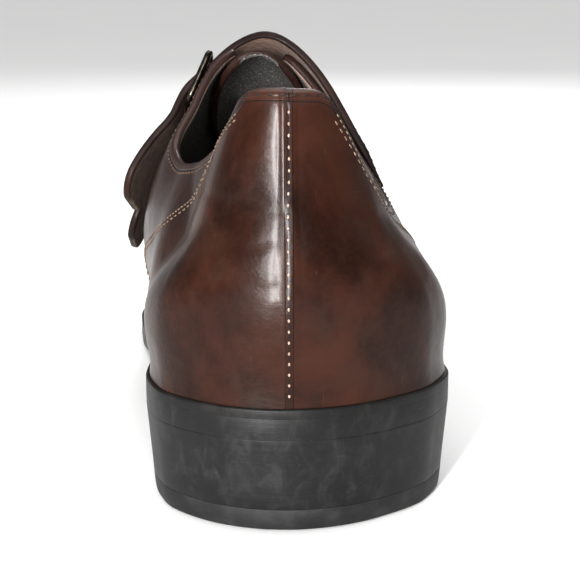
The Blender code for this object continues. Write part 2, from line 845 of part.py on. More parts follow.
def add_buckle(row, look):
    fields = dict(zip(STRAP_COLUMNS, row))
    line = StrapLine(fields["crossing"])
    hinge = fields["hinge_arc"]
    toe_bar = hinge - fields["frame_length"]
    half = STRAP_WIDTH / 2.0 + 0.9 + BUCKLE_WIRE
    hinge_level = 1.4
    bar_level = strap_lift(toe_bar, hinge) + STRAP_THICKNESS + GAP + BUCKLE_WIRE + 0.4
    corners = []
    for arc, level, ends in ((hinge, hinge_level, (half, -half)), (toe_bar, bar_level, (-half, half))):
        middle, width, up = line.seat(arc)
        corners += [middle + width * end + up * level for end in ends]
    path = []
    for k in range(4):
        here, before, after = corners[k], corners[k - 1], corners[(k + 1) % 4]
        back = (before - here).normalized()
        ahead = (after - here).normalized()
        for turn in (0.0, 0.25, 0.5, 0.75, 1.0):
            a = here + back * 1.9 * (1.0 - turn) ** 2 + ahead * 1.9 * turn**2
            path.append(a)
        for share in (0.33, 0.67):
            start = here + ahead * 1.9
            stop = after - ahead * 1.9
            path.append(start + (stop - start) * share)
    tube("buckle_" + fields["name"], path, BUCKLE_WIRE, look, closed=True)
    rest = bar_level + BUCKLE_WIRE + GAP + PRONG_RADIUS
    root = hinge_level + BUCKLE_WIRE + GAP + PRONG_RADIUS
    over = strap_lift(hinge - 4.0, hinge) + STRAP_THICKNESS + GAP + PRONG_RADIUS + 0.2
    spots = (
        (hinge - 0.4, root),
        (hinge - 1.4, root + 0.7),
        (hinge - 3.0, max(over, root + 2.0)),
        (hinge - 5.5, max(over, rest)),
        ((hinge + toe_bar) / 2.0 - 2.0, rest + 0.25),
        (toe_bar - 2.2, rest + 0.05),
    )
    prong = []
    for arc, level in spots:
        middle, _, up = line.seat(arc)
        prong.append(middle + up * level)
    tube("prong_" + fields["name"], prong, PRONG_RADIUS, look)


def build():
    for item in list(bpy.data.objects):
        bpy.data.objects.remove(item, do_unlink=True)
    leather = material("upper_leather", (0.09, 0.045, 0.033), 0.38)
    strap_leather = material("strap_leather", (0.11, 0.058, 0.036), 0.45)
    tongue_leather = material("tongue_leather", (0.16, 0.1, 0.07), 0.6)
    insole_leather = material("insole_leather", (0.05, 0.045, 0.042), 0.75)
    welt_leather = material("welt_leather", (0.03, 0.022, 0.018), 0.45)
    sole_leather = material("sole_leather", (0.025, 0.02, 0.017), 0.5)
    heel_leather = material("heel_leather", (0.018, 0.016, 0.015), 0.42)
    lift_rubber = material("lift_rubber", (0.014, 0.013, 0.013), 0.7)
    metal = material("buckle_metal", (0.45, 0.4, 0.33), 0.3, 1.0)

    turns = even_turns(RIBS)
    add_outsole(turns, sole_leather)
    add_welt(turns, welt_leather)
    add_insole(turns, insole_leather)
    add_heel(heel_leather, lift_rubber)
    add_upper(turns, leather)
    add_tongue(tongue_leather)
    for row in STRAP_ROWS:
        add_strap(row, strap_leather)
        add_buckle(row, metal)


build()
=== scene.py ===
"""Looks for the left wingtip double monk strap shoe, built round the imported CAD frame.

Shoe coordinates are millimetres: x across (medial positive), station from the back of the heel towards
the toe, z up. The shape functions repeat those of the part, so each piece lies where its solid lies.
"""

import math

import bmesh
import bpy
import numpy as np
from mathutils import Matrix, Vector
from mathutils.kdtree import KDTree


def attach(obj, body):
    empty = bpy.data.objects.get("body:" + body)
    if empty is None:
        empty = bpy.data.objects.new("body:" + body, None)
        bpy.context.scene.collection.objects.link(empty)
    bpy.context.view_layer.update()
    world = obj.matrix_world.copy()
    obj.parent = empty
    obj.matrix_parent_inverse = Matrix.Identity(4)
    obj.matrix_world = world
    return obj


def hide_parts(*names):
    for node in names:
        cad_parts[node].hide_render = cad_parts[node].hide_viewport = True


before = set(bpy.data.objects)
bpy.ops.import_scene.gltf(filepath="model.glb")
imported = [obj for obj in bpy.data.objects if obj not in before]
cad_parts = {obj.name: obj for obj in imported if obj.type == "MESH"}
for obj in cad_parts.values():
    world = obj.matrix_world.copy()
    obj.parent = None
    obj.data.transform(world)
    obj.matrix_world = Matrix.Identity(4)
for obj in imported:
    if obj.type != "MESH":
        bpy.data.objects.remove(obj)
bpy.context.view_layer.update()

MM = 0.001
SOLE_LENGTH = 300.0
ORIGIN_X = 3.2
ORIGIN_STATION = 39.4
GAP = 0.3
OUTSOLE_THICKNESS = 4.7
WELT_THICKNESS = 2.3
INSOLE_RISE = 2.4
WALL = 2.4
TOP_LIFT_THICKNESS = 5.0
HEEL_STACK_TOP = 21.7
BREAST_STATION = 78.0
STRAP_WIDTH = 22.0
STRAP_THICKNESS = 2.2
STRAP_REST = 0.4
HINGE_LIFT = 2.7
STRAP_TILT = math.radians(26.0)
STRAP_SWEEP = 13.0
SWEEP_REACH = 16.0
BUCKLE_WIRE = 1.0
PRONG_RADIUS = 0.8
TONGUE_THICKNESS = 2.2
TONGUE_GAP = 0.8
THROAT_END = 151.0

SOLE_ROWS = (
    # station, centre, half width, edge lateral, edge medial
    (0.0, 0.3, 0.0, 1.5, 1.5),
    (8.0, 1.0, 22.6, 1.5, 1.5),
    (20.0, 2.4, 33.6, 1.5, 1.5),
    (35.0, 3.5, 37.7, 1.5, 1.5),
    (60.0, 3.0, 36.2, 1.6, 1.5),
    (85.0, -0.4, 34.4, 1.8, 1.5),
    (110.0, -2.8, 34.2, 2.4, 1.6),
    (135.0, -3.2, 37.2, 3.0, 2.2),
    (160.0, -0.9, 42.9, 3.8, 3.6),
    (185.0, 1.6, 48.9, 4.6, 4.7),
    (205.0, 3.3, 51.9, 5.0, 5.0),
    (225.0, 4.8, 51.2, 5.2, 5.2),
    (245.0, 6.6, 47.0, 5.3, 5.3),
    (265.0, 7.8, 39.6, 5.4, 5.4),
    (282.0, 8.4, 28.6, 5.5, 5.5),
    (300.0, 8.4, 0.0, 5.5, 5.5),
)
TREAD_ROWS = (
    # station, height of the outsole's underside
    (0.0, 22.0),
    (78.0, 22.0),
    (100.0, 18.4),
    (120.0, 12.8),
    (140.0, 7.0),
    (160.0, 2.6),
    (182.0, 0.0),
    (214.0, 0.0),
    (235.0, 1.1),
    (260.0, 3.9),
    (280.0, 7.3),
    (300.0, 11.5),
)
SECTION_ROWS = (
    # station, ridge x, ridge height, then lateral and medial each: fullness, belly, level of the belly
    (-10.0, 0.3, 125.0, 1.09, 1.07, 1.6, 1.8, 0.33, 0.33),
    (14.0, 0.0, 125.0, 1.09, 1.06, 4.6, 5.2, 0.22, 0.23),
    (35.0, -0.6, 125.0, 1.09, 1.05, 5.7, 6.4, 0.19, 0.21),
    (60.0, -2.4, 119.5, 1.55, 1.2, 4.8, 5.8, 0.32, 0.25),
    (85.0, -4.2, 112.6, 2.12, 1.68, 6.0, 4.0, 0.4, 0.32),
    (105.0, -4.8, 108.6, 2.16, 1.76, 6.5, 4.4, 0.37, 0.38),
    (125.0, -3.8, 97.6, 2.12, 1.86, 6.4, 4.8, 0.37, 0.4),
    (150.0, -1.0, 82.8, 2.05, 2.0, 5.0, 4.0, 0.36, 0.38),
    (175.0, 2.8, 69.8, 2.15, 2.15, 3.0, 2.8, 0.32, 0.32),
    (200.0, 5.2, 59.8, 2.3, 2.3, 2.0, 2.0, 0.24, 0.24),
    (230.0, 7.2, 51.6, 2.45, 2.45, 1.6, 1.6, 0.22, 0.22),
    (262.0, 8.4, 46.0, 2.55, 2.55, 1.4, 1.4, 0.2, 0.2),
    (300.0, 8.4, 41.0, 2.6, 2.6, 1.4, 1.4, 0.2, 0.2),
)
FAN_ROWS = (
    # station of a rib at the sole's edge, station where it meets the ridge
    (0.0, 10.0),
    (8.0, 10.4),
    (20.0, 13.2),
    (35.0, 22.0),
    (50.0, 37.0),
    (65.0, 56.0),
    (82.0, 77.0),
    (105.0, 104.0),
    (130.0, 129.0),
    (220.0, 218.0),
    (255.0, 240.0),
    (280.0, 254.0),
    (300.0, 262.0),
)
COLLAR_ROWS = (
    # station, height of the topline, lateral and medial
    (0.0, 99.8, 99.8),
    (9.0, 99.6, 99.4),
    (13.0, 98.9, 97.4),
    (17.5, 97.0, 89.0),
    (21.0, 93.2, 84.0),
    (34.0, 84.4, 75.4),
    (48.0, 79.6, 69.4),
    (62.0, 78.0, 66.6),
    (74.0, 80.4, 70.4),
    (86.0, 88.2, 80.0),
    (96.0, 98.0, 93.0),
    (103.0, 107.0, 105.0),
    (108.0, 116.0, 116.0),
    (112.0, 134.0, 134.0),
)
THROAT_ROWS = (
    # station, half the throat's opening
    (92.0, -6.0),
    (100.0, 6.5),
    (108.0, 8.6),
    (125.0, 10.4),
    (136.0, 10.0),
    (143.0, 8.2),
    (148.0, 5.4),
    (151.0, 2.0),
)
TONGUE_ROWS = (
    # station, half the tongue's width
    (99.5, 9.0),
    (102.0, 13.5),
    (107.5, 17.0),
    (125.0, 19.5),
    (150.0, 18.5),
    (168.0, 16.0),
    (176.0, 14.0),
)
STRAP_COLUMNS = (
    "name",
    "crossing",
    "medial_arc",
    "hinge_arc",
    "frame_length",
    "free_length",
    "flare",
    "droop",
    "twist",
)
STRAP_ROWS = (
    ("upper", 113.0, 56.0, 28.0, 13.0, 27.5, 14.0, 24.0, 12.0),
    ("lower", 141.5, 50.0, 28.0, 13.0, 32.0, 4.0, 20.0, 2.0),
)
# Edge of the counter panel that wraps the heel: height, then its station on each side.
COUNTER_ROWS = (
    (20.0, 130.0, 124.0),
    (37.0, 117.0, 110.0),
    (49.0, 96.0, 88.0),
    (58.0, 69.0, 62.0),
    (64.4, 52.5, 44.0),
    (69.5, 43.5, 31.0),
    (73.5, 38.0, 24.5),
    (78.5, 34.5, 20.5),
    (83.0, 30.5, 17.5),
    (90.0, 20.5, 14.5),
    (95.0, 13.5, 12.5),
    (101.0, 11.0, 11.0),
)
# Front edge of the quarters over the vamp, and back edge of the wing: share of the climb, station.
QUARTER_ROWS = ((0.0, 122.0), (0.12, 130.0), (0.35, 145.0), (0.6, 156.0), (0.85, 160.0), (1.0, 157.0))
WING_ROWS = (
    (0.0, 146.0),
    (0.07, 152.0),
    (0.16, 166.0),
    (0.28, 186.0),
    (0.42, 206.0),
    (0.58, 222.0),
    (0.74, 232.0),
    (0.88, 232.0),
    (0.95, 227.0),
    (1.0, 221.0),
)


# ---------------------------------------------------------------- curves
class Track:
    """A smooth curve through table rows that never overshoots between two of them."""

    def __init__(self, xs, ys):
        self.x = np.array(xs, float)
        self.y = np.array(ys, float)
        self.h = np.diff(self.x)
        rise = np.diff(self.y) / self.h
        slope = np.zeros(len(self.x))
        slope[0], slope[-1] = rise[0], rise[-1]
        for i in range(1, len(self.x) - 1):
            before, after = rise[i - 1], rise[i]
            if before * after > 0.0:
                w1 = 2.0 * self.h[i] + self.h[i - 1]
                w2 = self.h[i] + 2.0 * self.h[i - 1]
                slope[i] = (w1 + w2) / (w1 / before + w2 / after)
        self.m = slope

    def __call__(self, q):
        q = np.clip(q, self.x[0], self.x[-1])
        i = np.clip(np.searchsorted(self.x, q, side="right") - 1, 0, len(self.x) - 2)
        h = self.h[i]
        t = (q - self.x[i]) / h
        a = self.y[i] * (1.0 + 2.0 * t) * (1.0 - t) ** 2
        b = self.y[i + 1] * t * t * (3.0 - 2.0 * t)
        c = self.m[i] * h * t * (1.0 - t) ** 2
        d = self.m[i + 1] * h * t * t * (t - 1.0)
        return a + b + c + d


def turn_of(station):
    """Share of the way round half the sole, 0 at the heel's back and 1 at the toe."""
    return np.arccos(np.clip(1.0 - 2.0 * np.asarray(station, float) / SOLE_LENGTH, -1.0, 1.0)) / math.pi


def station_of(turn):
    return SOLE_LENGTH * (1.0 - np.cos(math.pi * np.asarray(turn, float))) / 2.0


def tracks(rows, key=float):
    """One curve for each column of a table after its first."""
    xs = [float(key(row[0])) for row in rows]
    return [Track(xs, ys) for ys in list(zip(*rows))[1:]]


CENTRE, HALF_WIDTH, EDGE_LATERAL, EDGE_MEDIAL = tracks(SOLE_ROWS, turn_of)
RIDGE_X, RIDGE_Z, *SECTION = tracks(SECTION_ROWS)
FULL, BELLY, LEVEL = SECTION[0:2], SECTION[2:4], SECTION[4:6]
COLLAR, COUNTER = tracks(COLLAR_ROWS), tracks(COUNTER_ROWS)
(TREAD,), (FAN,), (THROAT,), (TONGUE,), (QUARTER,), (WING,) = (
    tracks(rows) for rows in (TREAD_ROWS, FAN_ROWS, THROAT_ROWS, TONGUE_ROWS, QUARTER_ROWS, WING_ROWS)
)


def pick(pair, side, value):
    """A value from a pair of lateral and medial curves."""
    return np.where(side > 0, pair[1](value), pair[0](value))


def smooth(x, low, high):
    t = np.clip((x - low) / (high - low), 0.0, 1.0)
    return t * t * (3.0 - 2.0 * t)


def arrays(*values):
    return np.broadcast_arrays(*(np.asarray(value, float) for value in values))


def unit(v):
    return v / np.maximum(np.linalg.norm(v, axis=-1, keepdims=True), 1e-12)


def run_along(points):
    """Distance run along a line, at each of its points."""
    steps = np.linalg.norm(np.diff(points, axis=-2), axis=-1)
    return np.concatenate([np.zeros_like(steps[..., :1]), np.cumsum(steps, axis=-1)], axis=-1)


def resample(points, run, marks):
    return np.stack([np.interp(marks, run, row) for row in np.asarray(points).T], axis=-1)


def bisect(low, high, steps, short):
    """The value between low and high up to which short holds."""
    for _ in range(steps):
        middle = (low + high) / 2.0
        under = short(middle)
        low, high = np.where(under, middle, low), np.where(under, high, middle)
    return (low + high) / 2.0


def folded(side, share):
    """Past either end of a half, a point counts back on the other side."""
    side = np.where((share < 0.0) | (share > 1.0), -side, side)
    share = np.abs(share)
    return side, np.where(share > 1.0, 2.0 - share, share)


# ---------------------------------------------------------------- shapes shared with the part
def outline(side, turn, inset=0.0):
    """The sole's outline, inset by so many millimetres: x and station."""
    side, turn = folded(*arrays(side, turn))
    x = CENTRE(turn) + side * HALF_WIDTH(turn)
    station = station_of(turn)
    if np.all(np.asarray(inset) == 0.0):
        return x, station
    x0, s0 = outline(side, turn - 0.004)
    x1, s1 = outline(side, turn + 0.004)
    along_x, along_s = x1 - x0, s1 - s0
    size = np.hypot(along_x, along_s)
    return x - side * along_s / size * inset, station + side * along_x / size * inset


def edge_width(side, turn):
    return np.where(side > 0, EDGE_MEDIAL(turn), EDGE_LATERAL(turn))


def outsole_top(station):
    return TREAD(station) + OUTSOLE_THICKNESS


def feather_level(station):
    return outsole_top(station) + GAP + WELT_THICKNESS + GAP


def last(side, turn, climb):
    """Outside of the upper, from the feather edge (climb 0) to the ridge (climb 1)."""
    side, turn, climb = arrays(side, turn, climb)
    side, turn = folded(side, turn)
    side, climb = folded(side, climb)
    foot_x, foot_s = outline(side, turn, edge_width(side, turn))
    ridge_s = FAN(station_of(turn))
    ridge_x = RIDGE_X(ridge_s)
    angle = climb * math.pi / 2.0
    power = pick(FULL, side, foot_s)
    cos, sin = np.maximum(np.cos(angle), 1e-9), np.maximum(np.sin(angle), 1e-9)
    reach = (cos**power + sin**power) ** (-1.0 / power)
    inward, rise = 1.0 - reach * cos, reach * sin
    share = np.clip(rise / (pick(LEVEL, side, foot_s) * 2.0), 0.0, 1.0)
    swell = 16.0 * share * share * (1.0 - share) ** 2 * pick(BELLY, side, foot_s)
    out_x, out_s = foot_x - ridge_x, foot_s - ridge_s
    size = np.hypot(out_x, out_s)
    x = foot_x + (ridge_x - foot_x) * inward + out_x / size * swell
    station = foot_s + (ridge_s - foot_s) * inward + out_s / size * swell
    floor = feather_level(foot_s)
    return np.stack([x, station, floor + (RIDGE_Z(station) - floor) * rise], axis=-1)


def last_normal(side, turn, climb):
    side, turn, climb = arrays(side, turn, climb)
    along = last(side, turn + 0.002, climb) - last(side, turn - 0.002, climb)
    low = np.where(climb < 0.01, climb, climb - 0.004)
    high = np.where(climb < 0.01, climb + 0.01, climb + 0.004)
    up = last(side, turn, high) - last(side, turn, low)
    return unit(np.cross(along, up) * side[..., None])


def beyond_edge(side, point):
    """How far a point is past the collar's or the throat's edge; the corner between them is soft."""
    x, s, z = point[..., 0], point[..., 1], point[..., 2]
    over_collar = np.where(s > COLLAR_ROWS[-1][0], -9.0, z - pick(COLLAR, side, s))
    in_throat = np.where(s < THROAT_ROWS[0][0], -9.0, THROAT(s) - np.abs(x - RIDGE_X(s)))
    spread = 1.2
    high = np.maximum(over_collar, in_throat)
    soft = np.exp((over_collar - high) / spread) + np.exp((in_throat - high) / spread)
    return high + spread * np.log(soft) - spread * math.log(2.0) * 0.5


def edge_climb(side, turns):
    """Climb at which each rib reaches the collar or the throat, 1 where it reaches the ridge."""
    steps = np.linspace(0.2, 1.0, 161)
    over = beyond_edge(side, last(side, turns[:, None], steps[None, :])) > 0.0
    first = np.maximum(over.argmax(axis=1), 1)
    found = bisect(
        steps[first - 1], steps[first], 30, lambda climb: beyond_edge(side, last(side, turns, climb)) <= 0.0
    )
    return np.where(over.any(axis=1), found, 1.0)


def spaced_turns(near, far):
    """Turns round half of the sole, near mm apart over the heel and far mm apart towards the toe."""
    fine = np.linspace(0.0, 1.0, 4001)
    x, s = outline(1.0, fine)
    steps = np.hypot(np.diff(x), np.diff(s))
    pace = near + (far - near) * smooth((s[1:] + s[:-1]) / 2.0, 45.0, 125.0)
    count = np.concatenate([[0.0], np.cumsum(steps / pace)])
    return np.interp(np.linspace(0.0, count[-1], int(round(count[-1])) + 1), count, fine)


# ---------------------------------------------------------------- meshes
def make_mesh(name, points, faces, looks, slot, node=None, kinds=None, fields=None, smooth_shade=True):
    """A piece from points in millimetres, which may stand for a CAD node. fields are numbers by point."""
    points = np.asarray(points, float).reshape(-1, 3)
    used = sorted({int(k) for face in faces for k in face})
    remap = np.full(len(points), -1)
    remap[used] = np.arange(len(used))
    placed = (points[used] - np.array([ORIGIN_X, ORIGIN_STATION, 0.0])) * MM
    mesh = bpy.data.meshes.new(name)
    mesh.from_pydata(placed.tolist(), [], [[int(remap[k]) for k in face] for face in faces])
    for look in looks:
        mesh.materials.append(look)
    if kinds is not None:
        mesh.polygons.foreach_set("material_index", np.asarray(kinds, np.int32))
    for key, values in (fields or {}).items():
        layer = mesh.attributes.new(key, "FLOAT", "POINT")
        layer.data.foreach_set("value", np.asarray(values, np.float32).ravel()[used])
    mesh.polygons.foreach_set("use_smooth", np.full(len(mesh.polygons), smooth_shade))
    mesh.update()
    item = bpy.data.objects.new(name, mesh)
    bpy.context.scene.collection.objects.link(item)
    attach(item, "root")
    if node:
        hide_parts(node)
    return item


def mend(item, weld=False):
    """Turns every face outwards, after joining doubled points if weld is true."""
    work = bmesh.new()
    work.from_mesh(item.data)
    if weld:
        bmesh.ops.remove_doubles(work, verts=work.verts, dist=1e-7)
    bmesh.ops.recalc_face_normals(work, faces=work.faces)
    work.to_mesh(item.data)
    work.free()
    item.data.polygons.foreach_set("use_smooth", np.full(len(item.data.polygons), True))


def grid_faces(index, flip=False):
    """Quads of an index grid, with doubled corners dropped."""
    a, b, c, d = index[:-1, :-1], index[1:, :-1], index[1:, 1:], index[:-1, 1:]
    quads = np.stack([corner.ravel() for corner in ((d, c, b, a) if flip else (a, b, c, d))], axis=1)
    same = (quads == np.roll(quads, -1, axis=1)).any(axis=1)
    small = [list(dict.fromkeys(face)) for face in quads[same].tolist()]
    return quads[~same].tolist() + [face for face in small if len(face) > 2]


def wrapped(index):
    return np.concatenate([index, index[:, :1]], axis=1)


def loft(sections, closed=False):
    """Points and faces through sections of equally many points; closed joins the last to the first."""
    count, size = len(sections), len(sections[0])
    index = wrapped(np.arange(count * size).reshape(count, size))
    if closed:
        index = np.concatenate([index, index[:1]])
    faces = grid_faces(index)
    if not closed:
        faces += [list(range(size))[::-1], [(count - 1) * size + k for k in range(size)]]
    return np.concatenate([np.asarray(section, float) for section in sections]), faces


def circle(centre, axis, other, radius, sides):
    angles = 2.0 * math.pi * np.arange(sides) / sides
    return centre + (np.outer(np.cos(angles), axis) + np.outer(np.sin(angles), other)) * radius


def tube_parts(path, radii, sides, closed=False):
    path = np.asarray(path, float)
    radii = np.broadcast_to(radii, len(path))
    if closed:
        heading = unit(np.roll(path, -1, axis=0) - np.roll(path, 1, axis=0))
    else:
        heading = unit(np.gradient(path, axis=0))
    start = np.array([0.0, 0.0, 1.0])
    if abs(heading[0] @ start) > 0.9:
        start = np.array([1.0, 0.0, 0.0])
    axis = unit(start - heading[0] * (start @ heading[0]))
    rings = []
    for place, ahead, radius in zip(path, heading, radii):
        axis = unit(axis - ahead * (axis @ ahead))
        rings.append(circle(place, axis, np.cross(ahead, axis), radius, sides))
    return loft(rings, closed)


class Pile:
    """Many small parts joined into one mesh."""

    def __init__(self):
        self.points, self.faces, self.count = [], [], 0

    def add(self, points, faces):
        self.points.append(np.asarray(points, float))
        self.faces += [[k + self.count for k in face] for face in faces]
        self.count += len(points)

    def make(self, name, look, slot, **options):
        return make_mesh(name, np.concatenate(self.points), self.faces, [look], slot, **options)


def even_marks(length, pitch, start=0.5):
    """Distances at even steps, close to the pitch, that fill a length."""
    count = max(1, int(length / pitch))
    return (np.arange(count) + start) * length / count


def bead(place, heading, normal, length, width, height):
    """A stitch: a small rounded grain lying along heading, open underneath."""
    side = unit(np.cross(normal, heading))
    points = []
    for along, girth in ((-0.38, 0.62), (0.0, 1.0), (0.38, 0.62)):
        for angle in np.linspace(0.0, math.pi, 5):
            across = side * math.cos(angle) * width / 2.0 * girth
            over = normal * math.sin(angle) * height * girth
            points.append(place + heading * along * length + across + over)
    points += [place - heading * 0.5 * length, place + heading * 0.5 * length]
    faces = [[a, a + 1, a + 6, a + 5] for a in (0, 1, 2, 3, 5, 6, 7, 8)]
    for k in range(4):
        faces += [[15, k + 1, k], [16, 10 + k, 11 + k]]
    return np.array(points), faces


def stitch_run(pile, points, normals, pitch, length, width=0.5, height=0.28, lift=0.0):
    """A row of stitches along a line of surface points, lift above them."""
    run = run_along(np.asarray(points))
    marks = even_marks(run[-1], pitch)
    headings = unit(resample(points, run, marks + 0.4) - resample(points, run, marks - 0.4))
    normals = unit(resample(normals, run, marks))
    for place, heading, normal in zip(resample(points, run, marks), headings, normals):
        heading = unit(heading - normal * (heading @ normal))
        pile.add(*bead(place + normal * lift, heading, normal, length, width, height))


def disc(place, normal, radius, sides):
    """A dark disc of painted shade for a punched hole's shadowed inside, its middle raised a hair."""
    start = np.array([0.0, 0.0, 1.0]) if abs(normal[2]) < 0.9 else np.array([1.0, 0.0, 0.0])
    axis = unit(np.cross(normal, start))
    ring = circle(place, axis, np.cross(normal, axis), radius, sides)
    points = np.concatenate([ring, [place + normal * 0.02]])
    return points, [[k, (k + 1) % sides, sides] for k in range(sides)]


# ---------------------------------------------------------------- materials
class Wire:
    """A number that flows between a material's nodes; wires add, subtract and multiply."""

    def __init__(self, look, socket):
        self.look, self.socket = look, socket

    def __add__(self, other):
        return self.look.math("ADD", self, other)

    def __sub__(self, other):
        return self.look.math("SUBTRACT", self, other)

    def __mul__(self, other):
        return self.look.math("MULTIPLY", self, other)


class Look:
    """A material's node tree with short ways to add and join nodes."""

    def __init__(self, name):
        self.material = bpy.data.materials.new(name)
        self.material.use_nodes = True
        self.tree = self.material.node_tree
        self.shader = self.tree.nodes["Principled BSDF"]
        self.place = self.node("TexCoord", "Object")

    def join(self, source, target):
        if isinstance(source, Wire):
            self.tree.links.new(source.socket, target)
        elif isinstance(source, tuple):
            target.default_value = (*source, 1.0)[: len(target.default_value)]
        else:
            target.default_value = source

    def node(self, kind, output, inputs=(), **settings):
        node = self.tree.nodes.new("ShaderNode" + kind)
        for key, value in settings.items():
            setattr(node, key, value)
        for key, value in dict(inputs).items():
            self.join(value, node.inputs[key])
        return Wire(self, node.outputs[output])

    def field(self, name):
        return self.node("Attribute", "Fac", attribute_name=name)

    def stretch(self, scale):
        return self.node("Mapping", "Vector", {"Scale": scale, "Vector": self.place})

    def noise(self, scale, detail, rough, distort=0.0, place=None):
        inputs = {"Scale": scale, "Detail": detail, "Roughness": rough, "Distortion": distort}
        return self.node("TexNoise", "Fac", {**inputs, "Vector": place or self.place})

    def cells(self, scale, feature="F1"):
        return self.node("TexVoronoi", "Distance", {"Scale": scale, "Vector": self.place}, feature=feature)

    def math(self, kind, *values):
        return self.node("Math", 0, enumerate((*values, 0.0, 0.0)[:3]), operation=kind)

    def band(self, value, low, high, to_low=0.0, to_high=1.0):
        """Follows value smoothly from to_low at low to to_high at high."""
        inputs = {"From Min": low, "From Max": high, "To Min": to_low, "To Max": to_high, "Value": value}
        return self.node("MapRange", "Result", inputs, interpolation_type="SMOOTHSTEP")

    def blend(self, share, a, b):
        return self.node("Mix", "Result", {"Factor": share, "A": a, "B": b}, data_type="RGBA")

    def bump(self, value, distance, strength, after=None):
        inputs = {"Strength": strength, "Distance": distance, "Height": value}
        return self.node("Bump", "Normal", {**inputs, "Normal": after} if after else inputs)

    def finish(self, colour, roughness, normal, **settings):
        for key, value in settings.items():
            self.shader.inputs[key.replace("_", " ")].default_value = value
        for key, value in (("Base Color", colour), ("Roughness", roughness), ("Normal", normal)):
            self.join(value, self.shader.inputs[key])
        return self.material


def calf_leather(name, deep, warm, cool, rough=0.34, coat=0.2, panels=False):
    """Polished calf: mottled colour, fine grain, thin upright scratches, and on the upper the panel edges
    with painted shade on the quarters and vamp.
    """
    look = Look(name)
    mottle = look.noise(120.0, 4.0, 0.62, 0.6)
    colour = look.blend(look.band(look.noise(38.0, 5.0, 0.6, 0.4), 0.36, 0.68), deep, warm)
    colour = look.blend(look.band(mottle, 0.46, 0.74) * 0.55, colour, cool)
    colour = look.blend(look.band(look.noise(900.0, 3.0, 0.6), 0.3, 0.75, 0.0, 0.22), colour, warm)
    upright = look.stretch((1700.0, 1700.0, 110.0))
    scratch = look.band(look.noise(1.0, 4.0, 0.7, 0.0, upright), 0.64, 0.78)
    colour = look.blend(scratch * 0.16, colour, (0.22, 0.14, 0.11))
    roughness = mottle * 0.16 + (rough - 0.07) + scratch * 0.12
    level = look.stretch((190.0, 190.0, 700.0))
    relief = look.cells(1500.0, "SMOOTH_F1") * 0.5 + look.noise(330.0, 4.0, 0.6, 0.8) * 1.8
    relief = relief + look.noise(1.0, 4.0, 0.65, 0.4, level) * 1.9
    normal = look.bump(look.noise(85.0, 4.0, 0.55), 0.0009, 0.26)
    if panels:
        colour, normal = panel_edges(look, colour, normal)
    normal = look.bump(relief, 0.00006, 0.55, normal)
    coating = {"Coat_Weight": coat, "Coat_Roughness": 0.15, "Coat_IOR": 1.28}
    return look.finish(colour, roughness, normal, IOR=1.26, **coating)


def panel_edges(look, colour, normal):
    """Painted shade darkening the quarters and the vamp, tints of the collar strip, margin and back seam,
    and the cut edges between panels, from the seam distances.
    """
    edge, counter, quarter, wing, back = (
        look.field(name) for name in ("edge", "counter", "quarter", "wing", "back")
    )
    teeth = look.math("PINGPONG", look.field("run"), 1.1)
    wing = wing + teeth * 0.8
    ahead = look.band(counter, -0.1, 0.1)
    behind = look.band(counter, -0.1, 0.1, 1.0, 0.0)
    shaded_quarter = ahead * look.band(quarter, -0.1, 0.1, 1.0, 0.0)
    shaded_vamp = look.band(quarter, -0.1, 0.1) * look.band(wing, -0.1, 0.1, 1.0, 0.0)
    strip = look.band(edge, 2.75, 2.95, 1.0, 0.0) * behind
    margin = look.band(edge, 2.2, 2.45, 1.0, 0.0) * ahead
    for share, tint in (
        # painted shade: the first two rows darken the quarters and the vamp for the shade they lie in
        (shaded_quarter * 0.6, (0.019, 0.0075, 0.006)),
        (shaded_vamp * 0.5, (0.012, 0.006, 0.0055)),
        (strip * 0.35, (0.075, 0.033, 0.022)),
        (margin * 0.5, (0.035, 0.017, 0.013)),
        (look.band(back, 0.3, 1.0, 0.6, 0.0), (0.012, 0.006, 0.0045)),
    ):
        colour = look.blend(share, colour, tint)
    fresh_cut, dyed_cut = (0.1, 0.066, 0.05), (0.02, 0.01, 0.008)
    for distance, raw in ((counter, fresh_cut), (quarter, dyed_cut), (wing, dyed_cut)):
        away = look.math("ABSOLUTE", distance)
        colour = look.blend(look.band(away, 0.5, 1.0, 0.7, 0.0), colour, (0.007, 0.0035, 0.003))
        colour = look.blend(look.band(away, 0.2, 0.5, 0.8, 0.0), colour, raw)
    rim = look.band(look.math("ABSOLUTE", edge - 3.0), 0.1, 0.28, 0.6, 0.0) * behind
    colour = look.blend(rim, colour, (0.008, 0.004, 0.003))
    groove = look.band(look.math("ABSOLUTE", edge - 2.3), 0.0, 0.32)
    steps = look.band(counter, -0.12, 0.12, 1.0, 0.0) + strip * 0.6
    steps = steps + look.band(quarter, -0.15, 0.15, 1.0, 0.0) + look.band(wing, -0.15, 0.15)
    steps = steps + groove * 0.5 + look.band(back, 0.75, 1.0, 0.6, 0.0)
    return colour, look.bump(steps, 0.0005, 0.8, normal)


def flesh_leather(name, deep, light):
    """The rough underside of a strap: short fibres, streaks and worn lighter patches."""
    look = Look(name)
    streaks = look.noise(1.0, 5.0, 0.7, 0.3, look.stretch((420.0, 1100.0, 300.0)))
    fuzz = look.noise(2600.0, 3.0, 0.7)
    colour = look.blend(look.band(streaks, 0.36, 0.68), deep, light)
    patches = look.band(look.noise(160.0, 4.0, 0.6), 0.5, 0.75, 0.0, 0.5)
    colour = look.blend(patches, colour, (0.035, 0.018, 0.012))
    colour = look.blend(look.band(fuzz, 0.55, 0.8, 0.0, 0.35), colour, (0.3, 0.22, 0.15))
    normal = look.bump(fuzz + streaks, 0.00022, 0.7)
    sheen = {"Sheen_Weight": 0.15, "Sheen_Roughness": 0.6}
    return look.finish(colour, 0.86, normal, Specular_IOR_Level=0.25, **sheen)


